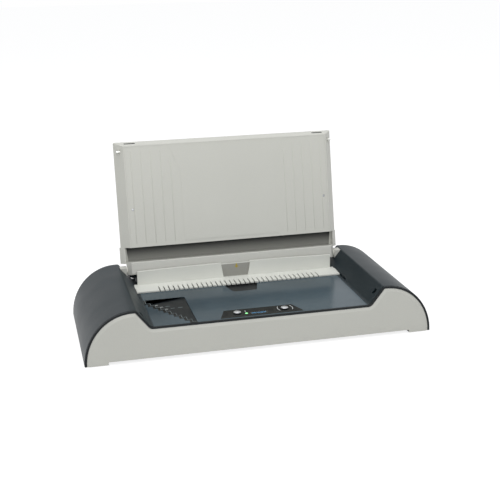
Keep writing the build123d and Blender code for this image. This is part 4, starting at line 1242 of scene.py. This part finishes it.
@dataclass
class BaseDetails(Assembly):
    """Turned feet, casing screws and the rocker's printed marks."""

    foot_x: float = 246.0
    foot_y: float = 89.0
    foot_radius: float = 9.0
    foot_height: float = 1.2
    screw_x: float = 244.0
    screw_y: float = 70.0
    screw_radius: float = 3.1
    screw_height: float = 0.8
    screw_slot: float = 1.1
    screw_seat: float = 0.85
    rocker: tuple[float, float, float] = (187.0, 110.6, 30.0)
    rocker_lean: float = -10.0
    rocker_face: float = 5.0
    mark_off: float = 4.2

    def feet(self) -> None:
        """Model one foot with a stepped sole and a hollow middle, and set three copies."""
        foot = disc("rubber_foot_1", self.foot_radius * MM, 0.25 * MM, self.foot_height * MM, 64)
        shaping = Shaping(foot).faces(lambda at, out: out.z < -0.9)
        shaping.inset(1.0 * MM).extrude(mm(0, 0, -0.25))
        shaping.inset(2.6 * MM).extrude(mm(0, 0, 0.5))
        shaping.inset(0.9 * MM).extrude(mm(0, 0, -0.4))
        shaping.done()
        rounded(foot, 0.12 * MM, 2)
        spots = [mm(x * self.foot_x, y * self.foot_y + CASING_Y, 0) for x, y in CORNERS]
        for piece in four_of(foot, "rubber_foot", [Matrix.Translation(spot) for spot in spots]):
            self.keep(piece, Finishes.RUBBER, Body.BASE, "soft_rubber", ("rubber_feet",))

    def screws(self) -> None:
        """Set the four cross-recess screws in the tray's underside."""
        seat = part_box("casing_screws")[0].z / MM + self.screw_seat
        head = screw_head("casing_screw_1", self.screw_radius * MM, self.screw_height * MM,
                          self.screw_slot * MM)
        turn = Matrix.Rotation(math.radians(180), 4, "X")
        spots = [mm(x * self.screw_x, y * self.screw_y + CASING_Y, seat) for x, y in CORNERS]
        for piece in four_of(head, "casing_screw", [Matrix.Translation(spot) @ turn for spot in spots]):
            self.keep(piece, Finishes.SCREW, Body.BASE, "plated_screw")

    def rocker_marks(self) -> None:
        """Print the bar and the ring of the two switch positions on the rocker."""
        x, y, z = self.rocker
        place = (Matrix.Translation(mm(x, y + CASING_Y, z))
                 @ Matrix.Rotation(math.radians(self.rocker_lean), 4, "X"))
        upright = Matrix.Rotation(math.radians(90), 4, "X")
        seat = self.rocker_face
        stroke = bar("rocker_on_mark", mm(-0.35, seat - 0.02, self.mark_off - 1.3),
                     mm(0.35, seat + 0.06, self.mark_off + 1.3))
        off = ring("rocker_off_mark", 1.3 * MM, 0.28 * MM, 0.05 * MM, 40)
        placed(off, Matrix.Translation(mm(0, seat, -self.mark_off)) @ upright)
        for piece in (stroke, off):
            placed(piece, place)
            self.keep(piece, Finishes.INK, Body.ROCKER, "rocker_black")

    def build(self) -> None:
        """Model and dress the base's small pieces."""
        self.feet()
        self.screws()
        self.rocker_marks()


@dataclass
class ReturnSprings(Assembly):
    """The four return springs of the buttons and the guide, kept as the solids have them."""

    nodes: dict[str, Piece] = field(default_factory=dict)
    guide_keep: float = 0.333
    button_keep: float = 0.86

    def spring(self, node: str, joint: str, body: Body, along: Vector, keep: float) -> None:
        """Copy a spring's coils as the solid has them, and dress them on their body.

        Args:
            node: The CAD node that the coils stand for.
            joint: Not used.
            body: The body they rest on.
            along: The axis they close along.
            keep: Not used.
        """
        low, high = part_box(node)
        anchor = low * 1.0
        for axis in range(3):
            if not along[axis]:
                anchor[axis] = (low[axis] + high[axis]) / 2
        mesh = self.nodes[node].data.copy()
        mesh.name = node + "_coils"
        coils = bpy.data.objects.new(mesh.name, mesh)
        bpy.context.scene.collection.objects.link(coils)
        self.keep(coils, Finishes.SPRING, body, "spring_steel", (node,))
        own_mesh(coils)

    def build(self) -> None:
        """Model and dress the four springs."""
        for side in ("left", "right"):
            self.spring(f"{side}_guide_spring", "guide_slide", Body.BASE, Vector((0, 1, 0)),
                        self.guide_keep)
        for word in ("start", "select"):
            self.spring(f"{word}_button_spring", f"{word}_button_press", Body.BASE, Vector((0, 0, 1)),
                        self.button_keep)


@dataclass(frozen=True)
class Lamp:
    """A soft square lamp: its place and side in metres, and its power in watts."""

    name: str
    place: tuple[float, float, float]
    side: float
    power: float


@dataclass
class Studio:
    """Floor, soft lamps and the camera at the photograph's place."""

    eye: Vector = field(default_factory=lambda: Vector((-0.338125, -1.444753, 0.576692)))
    yaw: float = 0.2372813
    pitch: float = 0.3011151
    roll: float = -0.0145578
    lens: float = 71.0515
    sky: float = 0.45
    floor_colour: Colour = (228, 228, 226)
    floor_lift: float = 0.8
    target: tuple[float, float, float] = (0, 0, 0.1)
    lamps: tuple[Lamp, ...] = (Lamp("overhead", (-0.2, -0.3, 2.3), 2.0, 25.0),
                               Lamp("front", (-0.4, -2.6, 1.4), 1.8, 20.0))

    def world(self) -> None:
        """Make the room: white where it is seen or mirrored, softer where it lights."""
        world = bpy.data.worlds.new("room")
        bpy.context.scene.world = world
        world.use_nodes = True
        nodes, links = world.node_tree.nodes, world.node_tree.links
        seen = nodes["Background"]
        seen.inputs["Strength"].default_value = 1.0
        seen.inputs["Color"].default_value = (1, 1, 1, 1)
        lighting = nodes.new("ShaderNodeBackground")
        lighting.inputs["Color"].default_value = linear((250, 252, 255))
        lighting.inputs["Strength"].default_value = self.sky
        mix = nodes.new("ShaderNodeMixShader")
        links.new(ray_share(nodes, links), mix.inputs[0])
        links.new(lighting.outputs[0], mix.inputs[1])
        links.new(seen.outputs[0], mix.inputs[2])
        links.new(mix.outputs[0], nodes["World Output"].inputs[0])

    def floor(self) -> None:
        """Lay the pale floor that keeps the object's shadow."""
        clear_bench()
        bpy.ops.mesh.primitive_plane_add(size=14.0, location=(0, 2.0, 0))
        floor = named("studio_floor")
        recipe = Recipe("floor")
        nodes, links = recipe.tree.nodes, recipe.tree.links
        cloud = recipe.noise(900.0, 2.0)
        colour = recipe.ramp(cloud, [(0.3, shaded(self.floor_colour, 0.99)), (0.7, self.floor_colour)])
        recipe.shade(Base_Color=colour, Roughness=0.9, Specular_IOR_Level=0.0)
        lift = recipe.add("Emission", {"Color": (1, 1, 1, 1), "Strength": self.floor_lift})
        dim = recipe.add("BsdfDiffuse", {"Color": (0.42, 0.42, 0.42, 1)})
        shown = recipe.add("AddShader", {0: lift.outputs[0], 1: dim.outputs[0]})
        mix = recipe.add("MixShader", {0: ray_share(nodes, links), 1: recipe.shader.outputs[0],
                                       2: shown.outputs[0]})
        links.new(mix.outputs[0], nodes["Material Output"].inputs[0])
        floor.data.materials.append(recipe.material)

    def hang(self, lamp: Lamp) -> None:
        """Hang one lamp and turn it to the object.

        Args:
            lamp: The lamp.
        """
        light = bpy.data.lights.new(lamp.name, "AREA")
        light.shape = "SQUARE"
        light.size = lamp.side
        light.energy = lamp.power
        hung = bpy.data.objects.new(lamp.name, light)
        hung.location = lamp.place
        ray = Vector(self.target) - Vector(lamp.place)
        hung.rotation_euler = ray.to_track_quat("-Z", "Y").to_euler()
        hung.visible_camera = False
        bpy.context.scene.collection.objects.link(hung)

    def camera(self) -> None:
        """Set the camera where the photograph was taken."""
        ahead = Vector((math.sin(self.yaw) * math.cos(self.pitch),
                        math.cos(self.yaw) * math.cos(self.pitch), -math.sin(self.pitch)))
        level = Vector((math.cos(self.yaw), -math.sin(self.yaw), 0.0))
        above = level.cross(ahead)
        right = level * math.cos(self.roll) + above * math.sin(self.roll)
        up = above * math.cos(self.roll) - level * math.sin(self.roll)
        turn = Matrix((right, up, -ahead)).transposed().to_4x4()
        data = bpy.data.cameras.new("photo camera")
        data.lens = self.lens
        data.sensor_width = 36.0
        data.sensor_fit = "HORIZONTAL"
        data.clip_end = 50.0
        camera = bpy.data.objects.new("photo camera", data)
        bpy.context.scene.collection.objects.link(camera)
        camera.matrix_world = Matrix.Translation(self.eye) @ turn
        bpy.context.scene.camera = camera

    def build(self) -> None:
        """Make the whole studio."""
        bpy.context.scene.view_settings.view_transform = "Standard"
        self.world()
        self.floor()
        for lamp in self.lamps:
            self.hang(lamp)
        self.camera()


def ray_share(nodes: bpy.types.Nodes, links: bpy.types.NodeLinks) -> bpy.types.NodeSocket:
    """Give 1 for rays that are seen, mirrored or seen through glass, and 0 for the rest.

    Args:
        nodes: The tree's nodes.
        links: The tree's links.

    Returns:
        The share's socket.
    """
    path = nodes.new("ShaderNodeLightPath")
    total = path.outputs["Is Camera Ray"]
    for name in ("Is Glossy Ray", "Is Transmission Ray"):
        either = nodes.new("ShaderNodeMath")
        either.operation = "MAXIMUM"
        links.new(total, either.inputs[0])
        links.new(path.outputs[name], either.inputs[1])
        total = either.outputs[0]
    return total


def main() -> None:
    """Load the frame, build each sub-assembly in order and report it."""
    logging.basicConfig(level=logging.INFO, format="%(message)s")
    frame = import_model()
    dress_frame(frame["nodes"])
    for assembly in (LidDetails(), GaugeDetails(), ControlDetails(), GuideDetails(), BaseDetails(),
                     ReturnSprings(nodes=frame["nodes"])):
        assembly.build()
        LOG.info("%s done with %d pieces", type(assembly).__name__, len(assembly.made))
    Studio().build()


if __name__ == "__main__":
    main()
